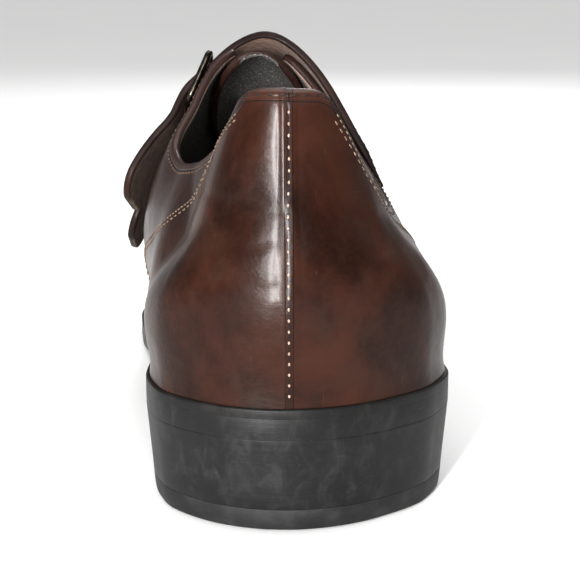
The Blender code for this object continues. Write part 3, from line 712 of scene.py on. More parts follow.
def lining_look(name, banded=True):
    """Dark textile with pale flecks, and a taupe leather band along the topline."""
    look = Look(name)
    edge = look.field("edge") if banded else 9.0
    warp = look.cells(1900.0)
    cloth = look.blend(look.band(warp, 0.15, 0.6), (0.034, 0.031, 0.029), (0.1, 0.095, 0.088))
    flecks = look.band(look.noise(1500.0, 2.0, 0.6), 0.56, 0.7)
    cloth = look.blend(flecks, cloth, (0.28, 0.27, 0.255))
    band = look.blend(look.noise(400.0, 3.0, 0.6), (0.36, 0.26, 0.215), (0.56, 0.45, 0.39))
    band = look.blend(look.band(edge, 0.35, 0.7, 1.0, 0.0), band, (0.03, 0.013, 0.01))
    on_band = look.band(edge, 3.7, 4.0, 1.0, 0.0)
    normal = look.bump(warp + on_band * 0.6, 0.00022, 0.6)
    roughness = look.band(edge, 3.7, 4.0, 0.5, 0.92)
    return look.finish(look.blend(on_band, cloth, band), roughness, normal, Specular_IOR_Level=0.3)


def sole_edge_look(name, dark, light, rough, lines):
    """Waxed leather edge: near black, with faint level lines and light scuffs."""
    look = Look(name)
    scuffs = look.noise(1.0, 5.0, 0.7, 0.5, look.stretch((210.0, 210.0, 130.0)))
    dust = look.noise(700.0, 3.0, 0.7)
    level = look.noise(1.0, 2.0, 0.5, 0.0, look.stretch((18.0, 18.0, 1500.0)))
    colour = look.blend(look.band(scuffs, 0.42, 0.78), dark, light)
    colour = look.blend(look.band(dust, 0.66, 0.8, 0.0, 0.3), colour, (0.13, 0.12, 0.12))
    normal = look.bump(level * lines + dust * 0.5, 0.00009, 0.6)
    return look.finish(colour, scuffs * 0.3 + rough, normal, IOR=1.4)


def metal_look(name):
    """Antique metal, darker where it isn't worn."""
    look = Look(name)
    worn = look.noise(260.0, 4.0, 0.6)
    colour = look.blend(look.band(worn, 0.4, 0.7), (0.045, 0.038, 0.032), (0.13, 0.11, 0.088))
    normal = look.bump(look.noise(2200.0, 3.0, 0.6), 0.00002, 0.4)
    return look.finish(colour, worn * 0.22 + 0.17, normal, Metallic=1.0)


def thread_look(name, base, light):
    look = Look(name)
    twist = look.noise(1.0, 2.0, 0.6, 0.0, look.stretch((2600.0, 2600.0, 2600.0)))
    colour = look.blend(look.band(twist, 0.35, 0.7), base, light)
    soiled = look.band(look.noise(90.0, 2.0, 0.5), 0.45, 0.75, 0.0, 0.6)
    colour = look.blend(soiled, colour, tuple(0.45 * v for v in base))
    return look.finish(colour, 0.6, look.bump(twist, 0.00008, 0.5), Specular_IOR_Level=0.35)


def hole_shade_look(name):
    look = Look(name)
    # painted shade: near-black colours stand for the shade inside a punched hole
    hole_mottle = look.noise(1400.0, 2.0, 0.6)
    colour = look.blend(hole_mottle, (0.002, 0.0015, 0.0015), (0.012, 0.008, 0.006))
    return look.finish(colour, 0.9, look.bump(hole_mottle, 0.0001, 0.5))


def rubber_look(name):
    look = Look(name)
    scuffs = look.noise(130.0, 4.0, 0.65)
    colour = look.blend(look.band(scuffs, 0.4, 0.75), (0.006, 0.006, 0.006), (0.028, 0.027, 0.027))
    return look.finish(colour, scuffs * 0.2 + 0.5, look.bump(look.noise(2200.0, 4.0, 0.7), 0.0001, 0.6))


def tread_look(name):
    """The leather sole's underside: brown-black stain and fine pores."""
    look = Look(name)
    stain = look.band(look.noise(30.0, 5.0, 0.6), 0.35, 0.7)
    colour = look.blend(stain, (0.02, 0.014, 0.011), (0.06, 0.042, 0.032))
    return look.finish(colour, 0.6, look.bump(look.noise(1300.0, 3.0, 0.65), 0.00012, 0.5))


LEATHER = calf_leather(
    "polished_calf", (0.0125, 0.004, 0.0024), (0.042, 0.0138, 0.0076), (0.031, 0.0165, 0.0095), panels=True
)
STRAP_LEATHER = calf_leather(
    "strap_calf", (0.014, 0.005, 0.0035), (0.044, 0.016, 0.0105), (0.034, 0.02, 0.016), rough=0.4
)
TONGUE_LEATHER = calf_leather(
    "tongue_calf", (0.018, 0.007, 0.005), (0.05, 0.02, 0.013), (0.042, 0.026, 0.022), 0.45, 0.15
)
STRAP_EDGE = calf_leather(
    "strap_edge_dye", (0.012, 0.006, 0.005), (0.03, 0.014, 0.01), (0.03, 0.02, 0.018), 0.5, 0.1
)
FLESH = flesh_leather("strap_flesh_side", (0.1, 0.05, 0.03), (0.23, 0.135, 0.085))
SOCK = flesh_leather("sock_leather", (0.02, 0.018, 0.017), (0.05, 0.046, 0.043))
LINING = lining_look("lining")
LINING_CLOTH = lining_look("tongue_lining", banded=False)
HEEL_LOOK = sole_edge_look("heel_edge_wax", (0.0065, 0.006, 0.006), (0.027, 0.026, 0.026), 0.34, 1.1)
EDGE_LOOK = sole_edge_look("sole_edge_wax", (0.006, 0.0055, 0.0055), (0.028, 0.027, 0.027), 0.33, 0.8)
WELT_LOOK = sole_edge_look("welt_wax", (0.0045, 0.0041, 0.004), (0.021, 0.019, 0.018), 0.36, 0.7)
LIFT_LOOK = rubber_look("lift_rubber_look")
TREAD_LOOK = tread_look("sole_underside")
METAL = metal_look("buckle_metal_look")
SEAM_THREAD = thread_look("beige_thread", (0.28, 0.19, 0.14), (0.5, 0.38, 0.31))
FOXING_THREAD = thread_look("tan_thread", (0.1, 0.064, 0.043), (0.24, 0.17, 0.12))
BROWN_THREAD = thread_look("brown_thread", (0.06, 0.035, 0.024), (0.15, 0.1, 0.07))
DARK_THREAD = thread_look("dark_thread", (0.012, 0.006, 0.005), (0.03, 0.016, 0.012))
HOLE_SHADE = hole_shade_look("punched_hole_painted_shade")


# ---------------------------------------------------------------- seams of the upper
CREASES = (
    # soft folds across the vamp: station at the ridge, slant, depth, width, lowest climb
    (184.0, -10.0, 0.42, 2.2, 0.5),
    (191.5, 6.0, 0.5, 1.9, 0.42),
    (200.0, -4.0, 0.34, 2.4, 0.55),
    (173.0, 12.0, 0.22, 2.6, 0.6),
)
HEEL_FOLDS = (
    # faint level folds behind the ankle: height, tilt, depth, width, middle x, reach
    (46.0, 0.05, 0.1, 1.5, -9.0, 15.0),
    (57.5, -0.08, 0.16, 1.6, -8.0, 14.0),
    (66.0, 0.1, 0.14, 1.3, -6.0, 12.0),
    (74.5, -0.05, 0.18, 1.7, -7.0, 15.0),
    (63.0, 0.04, 0.12, 1.8, 15.0, 12.0),
)


def climb_at_height(side, turn, height):
    return bisect(
        np.zeros_like(turn), np.ones_like(turn), 24, lambda climb: last(side, turn, climb)[..., 2] < height
    )


def counter_line(side, offset=0.0, low=20.0, high=101.0):
    """Turns and climbs along the counter's edge, offset mm ahead of it."""
    height = np.linspace(low, high, 260)
    track = COUNTER[1] if side > 0 else COUNTER[0]
    slope = track(height + 0.5) - track(height - 0.5)
    station = track(height) + offset * np.sqrt(1.0 + slope**2)

    def behind(turn):
        return last(side, turn, climb_at_height(side, turn, height))[..., 1] < station

    turn = bisect(np.full_like(height, 0.01), np.full_like(height, 0.92), 24, behind)
    return turn, climb_at_height(side, turn, height)


def turn_at_station(side, climb, station):
    low, high = np.full_like(climb, 0.01), np.full_like(climb, 1.0)
    return bisect(low, high, 28, lambda turn: last(side, turn, climb)[..., 1] < station)


def climb_line(track, side, offset=0.0, count=260, low=0.0, high=1.0):
    """Turns and climbs along a seam given as station by climb, offset mm ahead of it."""
    climb = np.linspace(low, high, count)
    slope = (track(climb + 0.005) - track(climb - 0.005)) / 0.01 / 90.0
    return turn_at_station(side, climb, track(climb) + offset * np.sqrt(1.0 + slope**2)), climb


class Seam:
    """A line on the surface, for the distance to it and the run along it."""

    SPACING = 0.15

    def __init__(self, lines):
        self.run, self.points, self.along = [], [], []
        for line in lines:
            run = run_along(line)
            marks = np.linspace(0.0, run[-1], max(2, int(run[-1] / self.SPACING)))
            dense = resample(line, run, marks)
            self.points.append(dense)
            self.run.append(marks)
            self.along.append(unit(np.gradient(dense, axis=0)))
        self.points, self.along = np.concatenate(self.points), np.concatenate(self.along)
        self.run = np.concatenate(self.run)
        self.tree = KDTree(len(self.points))
        for k, point in enumerate(self.points):
            self.tree.insert(point, k)
        self.tree.balance()

    def measure(self, points):
        flat = points.reshape(-1, 3)
        nearest = np.array([self.tree.find(point)[1] for point in flat])
        gap, along = flat - self.points[nearest], self.along[nearest]
        slide = np.clip((gap * along).sum(axis=1), -0.08, 0.08)
        away = np.linalg.norm(gap - along * slide[:, None], axis=1)
        return away.reshape(points.shape[:-1]), (self.run[nearest] + slide).reshape(points.shape[:-1])


def topline(side):
    """The open edge from the heel's back to the throat's end."""
    turns = spaced_turns(0.25, 0.35)
    turns = turns[FAN(station_of(turns)) <= THROAT_END]
    return last(side, turns, edge_climb(side, turns))


EDGE_SEAM = Seam([topline(side) for side in (1, -1)])
COUNTER_SEAM = Seam([last(side, *counter_line(side)) for side in (1, -1)])
QUARTER_SEAM, WING_SEAM = (
    Seam([last(side, *climb_line(track, side)) for side in (1, -1)]) for track in (QUARTER, WING)
)


def seam_fields(side, climb, points):
    """Signed distances: counter and quarter positive ahead of their edge, wing positive on the wing."""
    station, height = points[..., 1], points[..., 2]
    edge, _ = EDGE_SEAM.measure(points)
    counter, _ = COUNTER_SEAM.measure(points)
    quarter, _ = QUARTER_SEAM.measure(points)
    wing, run = WING_SEAM.measure(points)
    counter_edge = (COUNTER[1] if side > 0 else COUNTER[0])(height)
    counter = np.where(station < counter_edge, -counter, counter)
    quarter = np.where(station < QUARTER(climb), -quarter, quarter)
    wing = np.where(station < WING(climb), -wing, wing)
    back = np.where(station < 30.0, np.abs(points[..., 0] - 0.3), 90.0)
    return {"edge": edge, "counter": counter, "quarter": quarter, "wing": wing, "run": run, "back": back}


def skin_relief(fields, points, climb):
    """Height of the finished leather over the plain surface."""
    edge, counter = fields["edge"], fields["counter"]
    x, station, height = points[..., 0], points[..., 1], points[..., 2]
    relief = 0.5 * smooth(-counter, -0.7, 0.7)
    relief += 0.3 * smooth(-counter, -0.5, 0.9) * smooth(2.9 - edge, -0.5, 0.5)
    relief -= 0.8 * smooth(fields["quarter"], -0.9, 0.9) * smooth(-fields["wing"], -0.9, 0.9)
    relief += 0.25 * smooth(1.6 - fields["back"], -0.5, 0.5) * smooth(height, 28.0, 34.0)
    for ridge_station, slant, depth, width, lowest in CREASES:
        line = ridge_station + slant * (1.0 - climb) + 1.6 * np.sin(x * 0.16 + ridge_station)
        window = smooth(climb, lowest - 0.16, lowest + 0.16)
        relief -= depth * window * np.exp(-(((station - line) / width) ** 2))
        relief += 0.4 * depth * window * np.exp(-(((station - line - 2.0 * width) / (1.3 * width)) ** 2))
    for level, tilt, depth, width, middle, reach in HEEL_FOLDS:
        line = level + tilt * (x - middle) + 0.7 * np.sin(0.55 * x + level)
        window = np.exp(-(((x - middle) / reach) ** 2)) * smooth(34.0 - station, -8.0, 8.0)
        relief -= depth * window * np.exp(-(((height - line) / width) ** 2))
    waves = np.sin(0.19 * x + 0.07 * height + 1.0) * np.sin(0.11 * height + 0.13 * station)
    waves += 0.6 * np.sin(0.31 * height - 0.23 * x + 2.0) * np.sin(0.17 * station + 0.21 * x)
    relief += 0.14 * waves * smooth(height, 34.0, 60.0)
    return relief * smooth(edge, 0.1, 1.6)


def rounding(edge, radius):
    inside = np.clip(radius - edge, 0.0, radius)
    return radius - np.sqrt(np.maximum(radius**2 - inside**2, 0.0))


def on_skin(side, turn, climb):
    points = last(side, turn, climb)
    normals = last_normal(side, turn, climb)
    fields = seam_fields(side, climb, points)
    return points + normals * skin_relief(fields, points, climb)[..., None], normals


def rib_rows(side, turns, rows, tail):
    """Climbs of every rib's grid points: even along the rib, then at the tail's distances from its top."""
    closed = FAN(station_of(turns)) > THROAT_END
    top = np.where(closed, 1.0, edge_climb(side, turns))
    climbs = top[:, None] * np.linspace(0.0, 1.0, 241)
    runs = run_along(last(side, turns[:, None], climbs))
    out = []
    for run, climb in zip(runs, climbs):
        marks = np.concatenate([np.linspace(0.0, run[-1] - tail[0], rows + 1), run[-1] - np.array(tail[1:])])
        out.append(np.interp(marks, run, climb))
    return np.array(out), closed


def upper_shell(name, far, rows, look, slot, node=None):
    """Both sides in one mesh: the outer leather where it stands for a CAD node, else the lining."""
    turns = spaced_turns(0.9, far)
    tail = (2.2, 1.7, 1.3, 0.95, 0.65, 0.4, 0.2, 0.07, 0.0)
    points, fields, grids = [], {}, []
    for side in (1, -1):
        climbs, closed = rib_rows(side, turns, rows, tail)
        base = last(side, turns[:, None], climbs)
        normals = last_normal(side, turns[:, None], climbs)
        marks = seam_fields(side, climbs, base)
        marks["edge"][~closed, -1] = 0.0
        rolled = rounding(marks["edge"], WALL / 2.0)
        if node:
            placed = base + normals * (skin_relief(marks, base, climbs) - rolled)[..., None]
            hem = placed[:, :1] - np.array([0.0, 0.0, 0.55])
            placed = np.concatenate([hem, placed], axis=1)
            marks = {key: np.concatenate([value[:, :1], value], axis=1) for key, value in marks.items()}
        else:
            placed = base - normals * (WALL - rolled)[..., None]
        ribs, size = placed.shape[:2]
        grids.append(np.arange(ribs * size).reshape(ribs, size) + len(grids) * ribs * size)
        points.append(placed.reshape(-1, 3))
        for key, value in marks.items():
            fields.setdefault(key, []).append(value.ravel())
    right, left = grids
    left[0], left[-1] = right[0], right[-1]
    left[closed, -1] = right[closed, -1]
    faces = grid_faces(right, flip=not node) + grid_faces(left, flip=bool(node))
    fields = {key: np.concatenate(value) for key, value in fields.items()}
    make_mesh(name, np.concatenate(points), faces, [look], slot, node, fields=fields)


upper_shell("upper_skin", 1.55, 76, LEATHER, "upper_leather", "upper")
upper_shell("upper_lining", 1.6, 56, LINING, "insole_leather")


# ---------------------------------------------------------------- stitching and punching
def edge_line(side, away, first, end):
    """Turns and climbs along the open edge, this far inside it, between two stations."""
    turns = spaced_turns(1.0, 1.4)
    climbs, closed = rib_rows(side, turns, 90, (9.0, 8.0, 7.0, 6.0, 5.0, 4.0, 3.0, 2.0, 1.0, 0.5, 0.0))
    turns, climbs = turns[~closed], climbs[~closed][:, :-25:-1]
    gaps, _ = EDGE_SEAM.measure(last(side, turns[:, None], climbs))
    found = np.array([np.interp(away, gap, climb) for gap, climb in zip(gaps, climbs)])
    station = last(side, turns, found)[:, 1]
    kept = (station >= first) & (station <= end)
    return turns[kept], found[kept]


def sew(pile, side, line, *stitch):
    stitch_run(pile, *on_skin(side, *line), *stitch)


def punch(pile, side, turn, climb, radius, sides):
    points, normals = on_skin(side, turn, climb)
    for point, normal in zip(points, normals):
        pile.add(*disc(point + normal * 0.06, normal, radius, sides))


def even_spots(side, line, pitch, start=0.5):
    """Turns and climbs at even steps along a line."""
    run = run_along(last(side, *line))
    return [np.interp(even_marks(run[-1], pitch, start), run, values) for values in line]


def sew_upper():
    back, foxing, collar, panels = Pile(), Pile(), Pile(), Pile()
    heights = np.linspace(31.0, 96.0, 120)
    middle = np.zeros_like(heights)
    sew(back, 1.0, (middle, climb_at_height(1.0, middle, heights)), 2.5, 0.85, 0.6, 0.34, 0.02)
    for side in (1, -1):
        for offset, pitch in ((-0.45, 1.6), (-1.75, 2.2)):
            sew(foxing, side, counter_line(side, offset, 24.0, 94.5 + offset), pitch, 0.62 * pitch)
        sew(collar, side, edge_line(side, 1.65, 0.0, 15.0), 2.5, 1.6, 0.62, 0.26, 0.03)
        sew(panels, side, edge_line(side, 3.1, 24.0, 148.0), 2.3, 1.3)
        for offset in (-1.3, -3.0):
            sew(panels, side, climb_line(QUARTER, side, offset, 160, 0.02, 0.88), 2.2, 1.3)
        for offset in (1.9, 7.6):
            sew(panels, side, climb_line(WING, side, offset, 200, 0.02, 1.0), 2.1, 1.25)
    back.make("back_seam_stitches", SEAM_THREAD, "upper_leather")
    foxing.make("foxing_stitches", FOXING_THREAD, "upper_leather")
    collar.make("collar_stitches", DARK_THREAD, "upper_leather")
    panels.make("panel_stitches", BROWN_THREAD, "upper_leather")


def punch_wing():
    """The row of holes along the wing's edge, and a plain rosette on the toe, each hole a dark disc of
    painted shade.
    """
    holes = Pile()
    for side in (1, -1):
        large = climb_line(WING, side, 4.75, 200, 0.03, 0.985)
        punch(holes, side, *even_spots(side, large, 5.4), 0.95, 14)
        for offset in (4.1, 5.4):
            small = climb_line(WING, side, offset, 200, 0.03, 0.985)
            turn, climb = even_spots(side, small, 5.4, 0.0)
            punch(holes, side, turn[1:], climb[1:], 0.36, 8)
    for ring, count, radius in ((0.0, 1, 1.0), (4.2, 8, 0.42), (6.8, 8, 0.9), (9.6, 16, 0.42)):
        for k in range(count):
            angle = 2.0 * math.pi * (k + 0.5) / count
            station, reach = 247.0 + ring * math.cos(angle), ring * math.sin(angle)
            side = 1 if reach >= 0.0 else -1
            climb = np.array([1.0 - abs(reach) / 62.0])
            punch(holes, side, turn_at_station(side, climb, station), climb, radius, 12)
    holes.make("wing_punching", HOLE_SHADE, "upper_leather", smooth_shade=False)


sew_upper()
punch_wing()


# ---------------------------------------------------------------- tongue
def ribbon(half, thickness, radius, across):
    """Closed loop of (across, height) pairs: underside first, then one edge, the top and the other edge."""
    radius = min(radius, thickness / 2.0 - 0.01, half * 0.9)
    wide = half - radius
    corners = []
    for x, y, start in (
        (wide, radius, -90.0),
        (wide, thickness - radius, 0.0),
        (-wide, thickness - radius, 90.0),
        (-wide, radius, 180.0),
    ):
        for angle in np.radians(start + 30.0 * np.arange(4)):
            corners.append((x + radius * math.cos(angle), y + radius * math.sin(angle)))
    flat = np.linspace(-wide, wide, across)[1:-1]
    under, over = [(x, 0.0) for x in flat], [(x, thickness) for x in flat[::-1]]
    kinds = [1] * (across - 2) + [2] * 7 + [0] * (across - 1) + [2] * 7 + [1]
    return np.array(under + corners[:8] + over + corners[8:]), kinds


def reach_climb(side, turn, reach):
    def outside(climb):
        point = last(side, turn, climb)
        return np.abs(point[..., 0] - RIDGE_X(point[..., 1])) > reach

    return bisect(np.full_like(turn, 0.3), np.ones_like(turn), 30, outside)


def make_tongue():
    first, end = TONGUE_ROWS[0][0], TONGUE_ROWS[-1][0]
    ridge_turns = np.linspace(0.0, 1.0, 4001)
    ridge_stations = FAN(station_of(ridge_turns))
    sections = []
    for share in (0.0, 0.002, 0.006, 0.012, *np.linspace(0.02, 1.0, 56)):
        station = first + (end - first) * share
        slim = 1.0 - 0.6 * (1.0 - min(1.0, share / 0.012)) ** 2
        loop, kinds = ribbon(float(TONGUE(station)) - 0.4, TONGUE_THICKNESS * slim, 0.8, 20)
        side = np.where(loop[:, 0] >= 0.0, 1.0, -1.0)
        turn = np.full(len(loop), np.interp(station, ridge_stations, ridge_turns))
        climb = reach_climb(side, turn, np.abs(loop[:, 0]))
        depth = WALL + TONGUE_GAP + TONGUE_THICKNESS - loop[:, 1] - TONGUE_THICKNESS * (1.0 - slim) / 2.0
        sections.append(last(side, turn, climb) - last_normal(side, turn, climb) * depth[:, None])
    points, faces = loft(sections)
    looks = [TONGUE_LEATHER, LINING_CLOTH, TONGUE_LEATHER]
    kinds = kinds * (len(sections) - 1) + [0, 0]
    mend(make_mesh("tongue_leather_piece", points, faces, looks, "tongue_leather", "tongue", kinds))


make_tongue()


# ---------------------------------------------------------------- straps and buckles
class StrapLine:
    """Walks over the instep by arc length from the ridge; the strap sweeps forward laterally."""

    def __init__(self, crossing, first, end):
        """Surveys surface points and normals on a fine grid of arc (lateral positive) and across."""
        self.plane = self.distance(np.array([0.0, crossing, float(RIDGE_Z(crossing))]))
        self.arcs = np.linspace(first, end, int((end - first) / 0.5) + 1)
        across = np.linspace(-12.0, 12.0, 25)[None, :]
        climbs = 1.0 - 0.0058 * np.arange(121)
        grids = []
        for side, own in ((1, self.arcs[self.arcs <= 0.0]), (-1, self.arcs[self.arcs > 0.0])):
            run = run_along(last(side, self.turn(side, climbs, 0.0), climbs))
            climb = np.interp(np.abs(own), run, climbs)[:, None]
            turn = self.turn(side, climb, across)
            grids.append(np.concatenate((last(side, turn, climb), last_normal(side, turn, climb)), axis=-1))
        self.grid = np.concatenate(grids)

    @staticmethod
    def distance(point):
        x, s, z = point[..., 0], point[..., 1], point[..., 2]
        level = s * math.cos(STRAP_TILT) - z * math.sin(STRAP_TILT)
        return level - STRAP_SWEEP * (1.0 - np.exp(-((np.maximum(-x, 0.0) / SWEEP_REACH) ** 1.5)))

    def turn(self, side, climb, across):
        climb, across = arrays(climb, across)

        def short(turn):
            return self.distance(last(side, turn, climb)) < self.plane + across

        return bisect(np.full(climb.shape, 0.12), np.full(climb.shape, 0.85), 36, short)

    def at(self, arc, across):
        """Surface points and normals; across counts towards the toe."""
        arc, across = arrays(arc, across)
        a = np.clip((arc - self.arcs[0]) / (self.arcs[1] - self.arcs[0]), 0.0, len(self.arcs) - 1.001)
        b = np.clip(across + 12.0, 0.0, 23.999)
        i, j = a.astype(int), b.astype(int)
        u, v = (a - i)[..., None], (b - j)[..., None]
        low = self.grid[i, j] * (1.0 - v) + self.grid[i, j + 1] * v
        high = self.grid[i + 1, j] * (1.0 - v) + self.grid[i + 1, j + 1] * v
        out = low * (1.0 - u) + high * u
        return out[..., :3], unit(out[..., 3:])

    def seat(self, arc):
        """Middle, width direction and up of a flat strap that bridges the surface at this arc."""
        spots, normals = self.at(arc, np.linspace(-0.5, 0.5, 5) * STRAP_WIDTH)
        width = unit(spots[-1] - spots[0])
        up = unit(normals[2] - width * (normals[2] @ width))
        middle = (spots[0] + spots[-1]) / 2.0
        return middle + up * max(0.0, float(((spots - middle) @ up).max())), width, up


class Strap:
    """Places points of a strap: it follows the upper as far as the buckle, then the free end curves away."""

    END_RADIUS = 8.0
    THIN_END = 0.9

    def __init__(self, row):
        self.row = dict(zip(STRAP_COLUMNS, row))
        self.start, self.hinge = -self.row["medial_arc"], self.row["hinge_arc"]
        self.turnoff = self.hinge + 4.5
        self.end = self.turnoff + self.row["free_length"]
        self.line = StrapLine(self.row["crossing"], self.start - 2.0, self.hinge + 8.0)
        before = self.body(self.hinge + 1.6, np.zeros(1), np.zeros(1))[0]
        left, right, low, top = self.body(
            self.turnoff, np.array([-11.0, 11.0, 0.0, 0.0]), np.array([0.0, 0.0, 0.0, STRAP_THICKNESS])
        )
        self.forward = unit(low - before)
        self.width = unit(right - left)
        up = top - low
        self.up = unit(up - self.forward * (up @ self.forward))
        steps = (0.0, 0.12, 0.26, 0.42, 0.58, 0.74, 0.84, 0.91, 0.96, 0.985, 1.0)
        centres = [low]
        for past, step in zip(steps, steps[1:]):
            centres.append(centres[-1] + self.heading(step)[0] * (step - past) * self.row["free_length"])
        self.centre = [Track(steps, values) for values in np.array(centres).T]

    def lift(self, arc):
        """Height of the strap's underside over the upper: it rises over the buckle's hinge bar."""
        return STRAP_REST + HINGE_LIFT * float(smooth(arc - self.hinge, -13.0, -1.0))

    def heading(self, step):
        angle = math.radians(self.row["flare"] * min(1.0, step * 4.0) - self.row["droop"] * step * step)
        ahead = self.forward * math.cos(angle) + self.up * math.sin(angle)
        return ahead, self.up * math.cos(angle) - self.forward * math.sin(angle)

    def body(self, arc, across, height):
        height = height + self.lift(arc)
        middle, width, up = self.line.seat(arc)
        spots, normals = self.line.at(arc, across)
        hugging = spots + normals * height[:, None]
        bridging = middle + np.outer(across, width) + np.outer(height, up)
        flat = max(0.0, min(1.0, (arc + 40.0) / 18.0))
        return hugging * (1.0 - flat) + bridging * flat

    def free(self, step, across, height):
        above = self.heading(step)[1]
        centre = np.array([float(track(step)) for track in self.centre])
        twist = math.radians(self.row["twist"] * step)
        span = self.width * math.cos(twist) - above * math.sin(twist)
        face = above * math.cos(twist) + self.width * math.sin(twist)
        return centre + np.outer(across, span) + np.outer(height, face)

    def point(self, along, across, height):
        """along is the arc up to the turnoff, then continues over the free end."""
        across, height = (np.atleast_1d(values).astype(float) for values in (across, height))
        if along <= self.turnoff:
            return self.body(along, across, height)
        return self.free((along - self.turnoff) / self.row["free_length"], across, height)

    def top(self, along, across):
        """A point on the strap's face, and the normal there."""
        low, high = self.point(along, [across, across], [0.0, 1.0])
        return self.point(along, across, self.thickness(along))[0], unit(high - low)

    def thickness(self, along):
        """Skived thin towards the end that is sewn to the medial quarter."""
        share = float(smooth(along - self.start, 1.0, 13.0))
        return self.THIN_END + (STRAP_THICKNESS - self.THIN_END) * share

    def half(self, along):
        """Half the width, rounded off at the free end."""
        cut = max(0.0, self.END_RADIUS - (self.end - along))
        corner = math.sqrt(max(0.0, self.END_RADIUS**2 - cut**2))
        return STRAP_WIDTH / 2.0 - self.END_RADIUS + corner


def make_strap(strap):
    name, start, end = strap.row["name"], strap.start, strap.end
    marks = [start, start + 0.1, start + 0.3, start + 0.7, *np.arange(start + 1.4, end - 3.0, 1.15)]
    marks += [end - gap for gap in (2.6, 2.0, 1.5, 1.0, 0.65, 0.38, 0.18, 0.05, 0.0)]
    sections = []
    for along in marks:
        slim = 1.0 - 0.45 * max(0.0, 1.0 - min(along - start, end - along) / 0.7) ** 2
        thick = strap.thickness(along)
        loop, kinds = ribbon(strap.half(along), thick * slim, 0.75, 16)
        sections.append(strap.point(along, loop[:, 0], loop[:, 1] + thick * (1.0 - slim) / 2.0))
    points, faces = loft(sections)
    looks = [STRAP_LEATHER, FLESH, STRAP_EDGE]
    kinds = kinds * (len(sections) - 1) + [2, 2]
    node = "strap_" + name
    mend(make_mesh(node + "_leather", points, faces, looks, "strap_leather", node, kinds))


def sew_strap(strap, stitches, punched):
    """Stitches down both edges and across the ends, and the strap's holes as dark discs of painted shade."""
    start, end = strap.start, strap.end
    lines = []
    for hand in (-1.0, 1.0):
        edge = np.arange(start + 2.2, end - 2.6, 1.1)
        lines.append([(along, hand * (strap.half(along + 1.4) - 2.0)) for along in edge])
    for along, ahead, margin in ((start + 2.0, 0.0, 2.0), (start + 4.6, 0.0, 2.0), (end - 2.0, 1.2, 1.4)):
        reach = strap.half(along + ahead) - margin
        lines.append([(along, share * reach) for share in np.linspace(-1.0, 1.0, 17)])
    for line in lines:
        points, normals = zip(*(strap.top(*spot) for spot in line))
        stitch_run(stitches, np.array(points), np.array(normals), 2.5, 1.5, 0.5, 0.26)
    for step in (0.0, 8.4, 16.8, -14.0):
        place, normal = strap.top(strap.hinge - 3.6 + step, 0.0)
        punched.add(*disc(place + normal * 0.05, normal, 1.25, 18))


def make_buckle(strap):
    """A wire frame under and over the strap, its prong, and the leather tab that holds its hinge bar."""
    name, hinge = strap.row["name"], strap.hinge
    toe_bar = hinge - strap.row["frame_length"]
    half = STRAP_WIDTH / 2.0 + 0.9 + BUCKLE_WIRE
    hinge_level = 1.4
    bar_level = strap.lift(toe_bar) + STRAP_THICKNESS + GAP + BUCKLE_WIRE + 0.4
    corners = []
    for arc, level, ends in ((hinge, hinge_level, (half, -half)), (toe_bar, bar_level, (-half, half))):
        middle, width, up = strap.line.seat(arc)
        corners += [middle + width * end + up * level for end in ends]
    path = []
    bend = 1.9
    for here, before, after in zip(corners, corners[-1:] + corners[:-1], corners[1:] + corners[:1]):
        back, ahead = unit(before - here), unit(after - here)
        for share in np.linspace(0.0, 1.0, 9):
            path.append(here + back * bend * (1.0 - share) ** 2 + ahead * bend * share**2)
        start, stop = here + ahead * bend, after - ahead * bend
        path += [start + (stop - start) * share for share in np.linspace(0.0, 1.0, 12)[1:-1]]
    points, faces = tube_parts(path, BUCKLE_WIRE, 16, closed=True)
    mend(make_mesh("buckle_" + name + "_metal", points, faces, [METAL], "buckle_metal", "buckle_" + name))

    rest = bar_level + BUCKLE_WIRE + GAP + PRONG_RADIUS
    root = hinge_level + BUCKLE_WIRE + GAP + PRONG_RADIUS
    over = strap.lift(hinge - 4.0) + STRAP_THICKNESS + GAP + PRONG_RADIUS + 0.2
    prong = []
    for arc, level in (
        (hinge - 0.4, root),
        (hinge - 1.4, root + 0.7),
        (hinge - 3.0, max(over, root + 2.0)),
        (hinge - 5.5, max(over, rest)),
        ((hinge + toe_bar) / 2.0 - 2.0, rest + 0.25),
        (toe_bar - 2.2, rest + 0.05),
    ):
        middle, _, up = strap.line.seat(arc)
        prong.append(middle + up * level)
    run = run_along(np.array(prong))
    marks = np.linspace(0.0, run[-1], 40)
    path = np.stack([Track(run, values)(marks) for values in np.array(prong).T], axis=1)
    pile = Pile()
    pile.add(*tube_parts(path, PRONG_RADIUS * np.sqrt(np.clip((run[-1] - marks) / 0.7, 0.08, 1.0)), 14))
    middle, width, up = strap.line.seat(hinge)
    along = np.cross(up, width)
    centre = middle + up * hinge_level
    pile.add(*tube_parts(circle(centre, along, up, BUCKLE_WIRE + 0.36, 20), 0.42, 10, closed=True))
    mend(pile.make("prong_" + name + "_metal", METAL, "buckle_metal", node="prong_" + name))
    make_tab(strap, centre, width, up, along)


def make_tab(strap, centre, width, up, along):
    """The leather loop that holds the hinge bar: round the bar, then flat on the quarter."""
    heading = along if strap.forward @ along > 0.0 else -along
    angles = np.radians(np.linspace(-90.0, 90.0, 13))
    path = [(-1.45 * math.cos(angle), 1.45 * math.sin(angle)) for angle in angles]
    path += [(1.5, 1.25), (3.2, 0.35), (6.0, -0.25), (11.0, -0.45)]
    pile = Pile()
    for hand in (-1.0, 1.0):
        near, far = width * hand * 2.1, width * hand * 7.4
        loops = []
        for x, y in path:
            outer = centre + heading * x + up * y
            inner = centre + heading * x * 0.72 + up * (y * 0.72 - 0.1)
            loops.append([outer + near, outer + far, inner + far, inner + near])
        pile.add(*loft(loops))
    mend(pile.make("tab_" + strap.row["name"], STRAP_LEATHER, "strap_leather"))


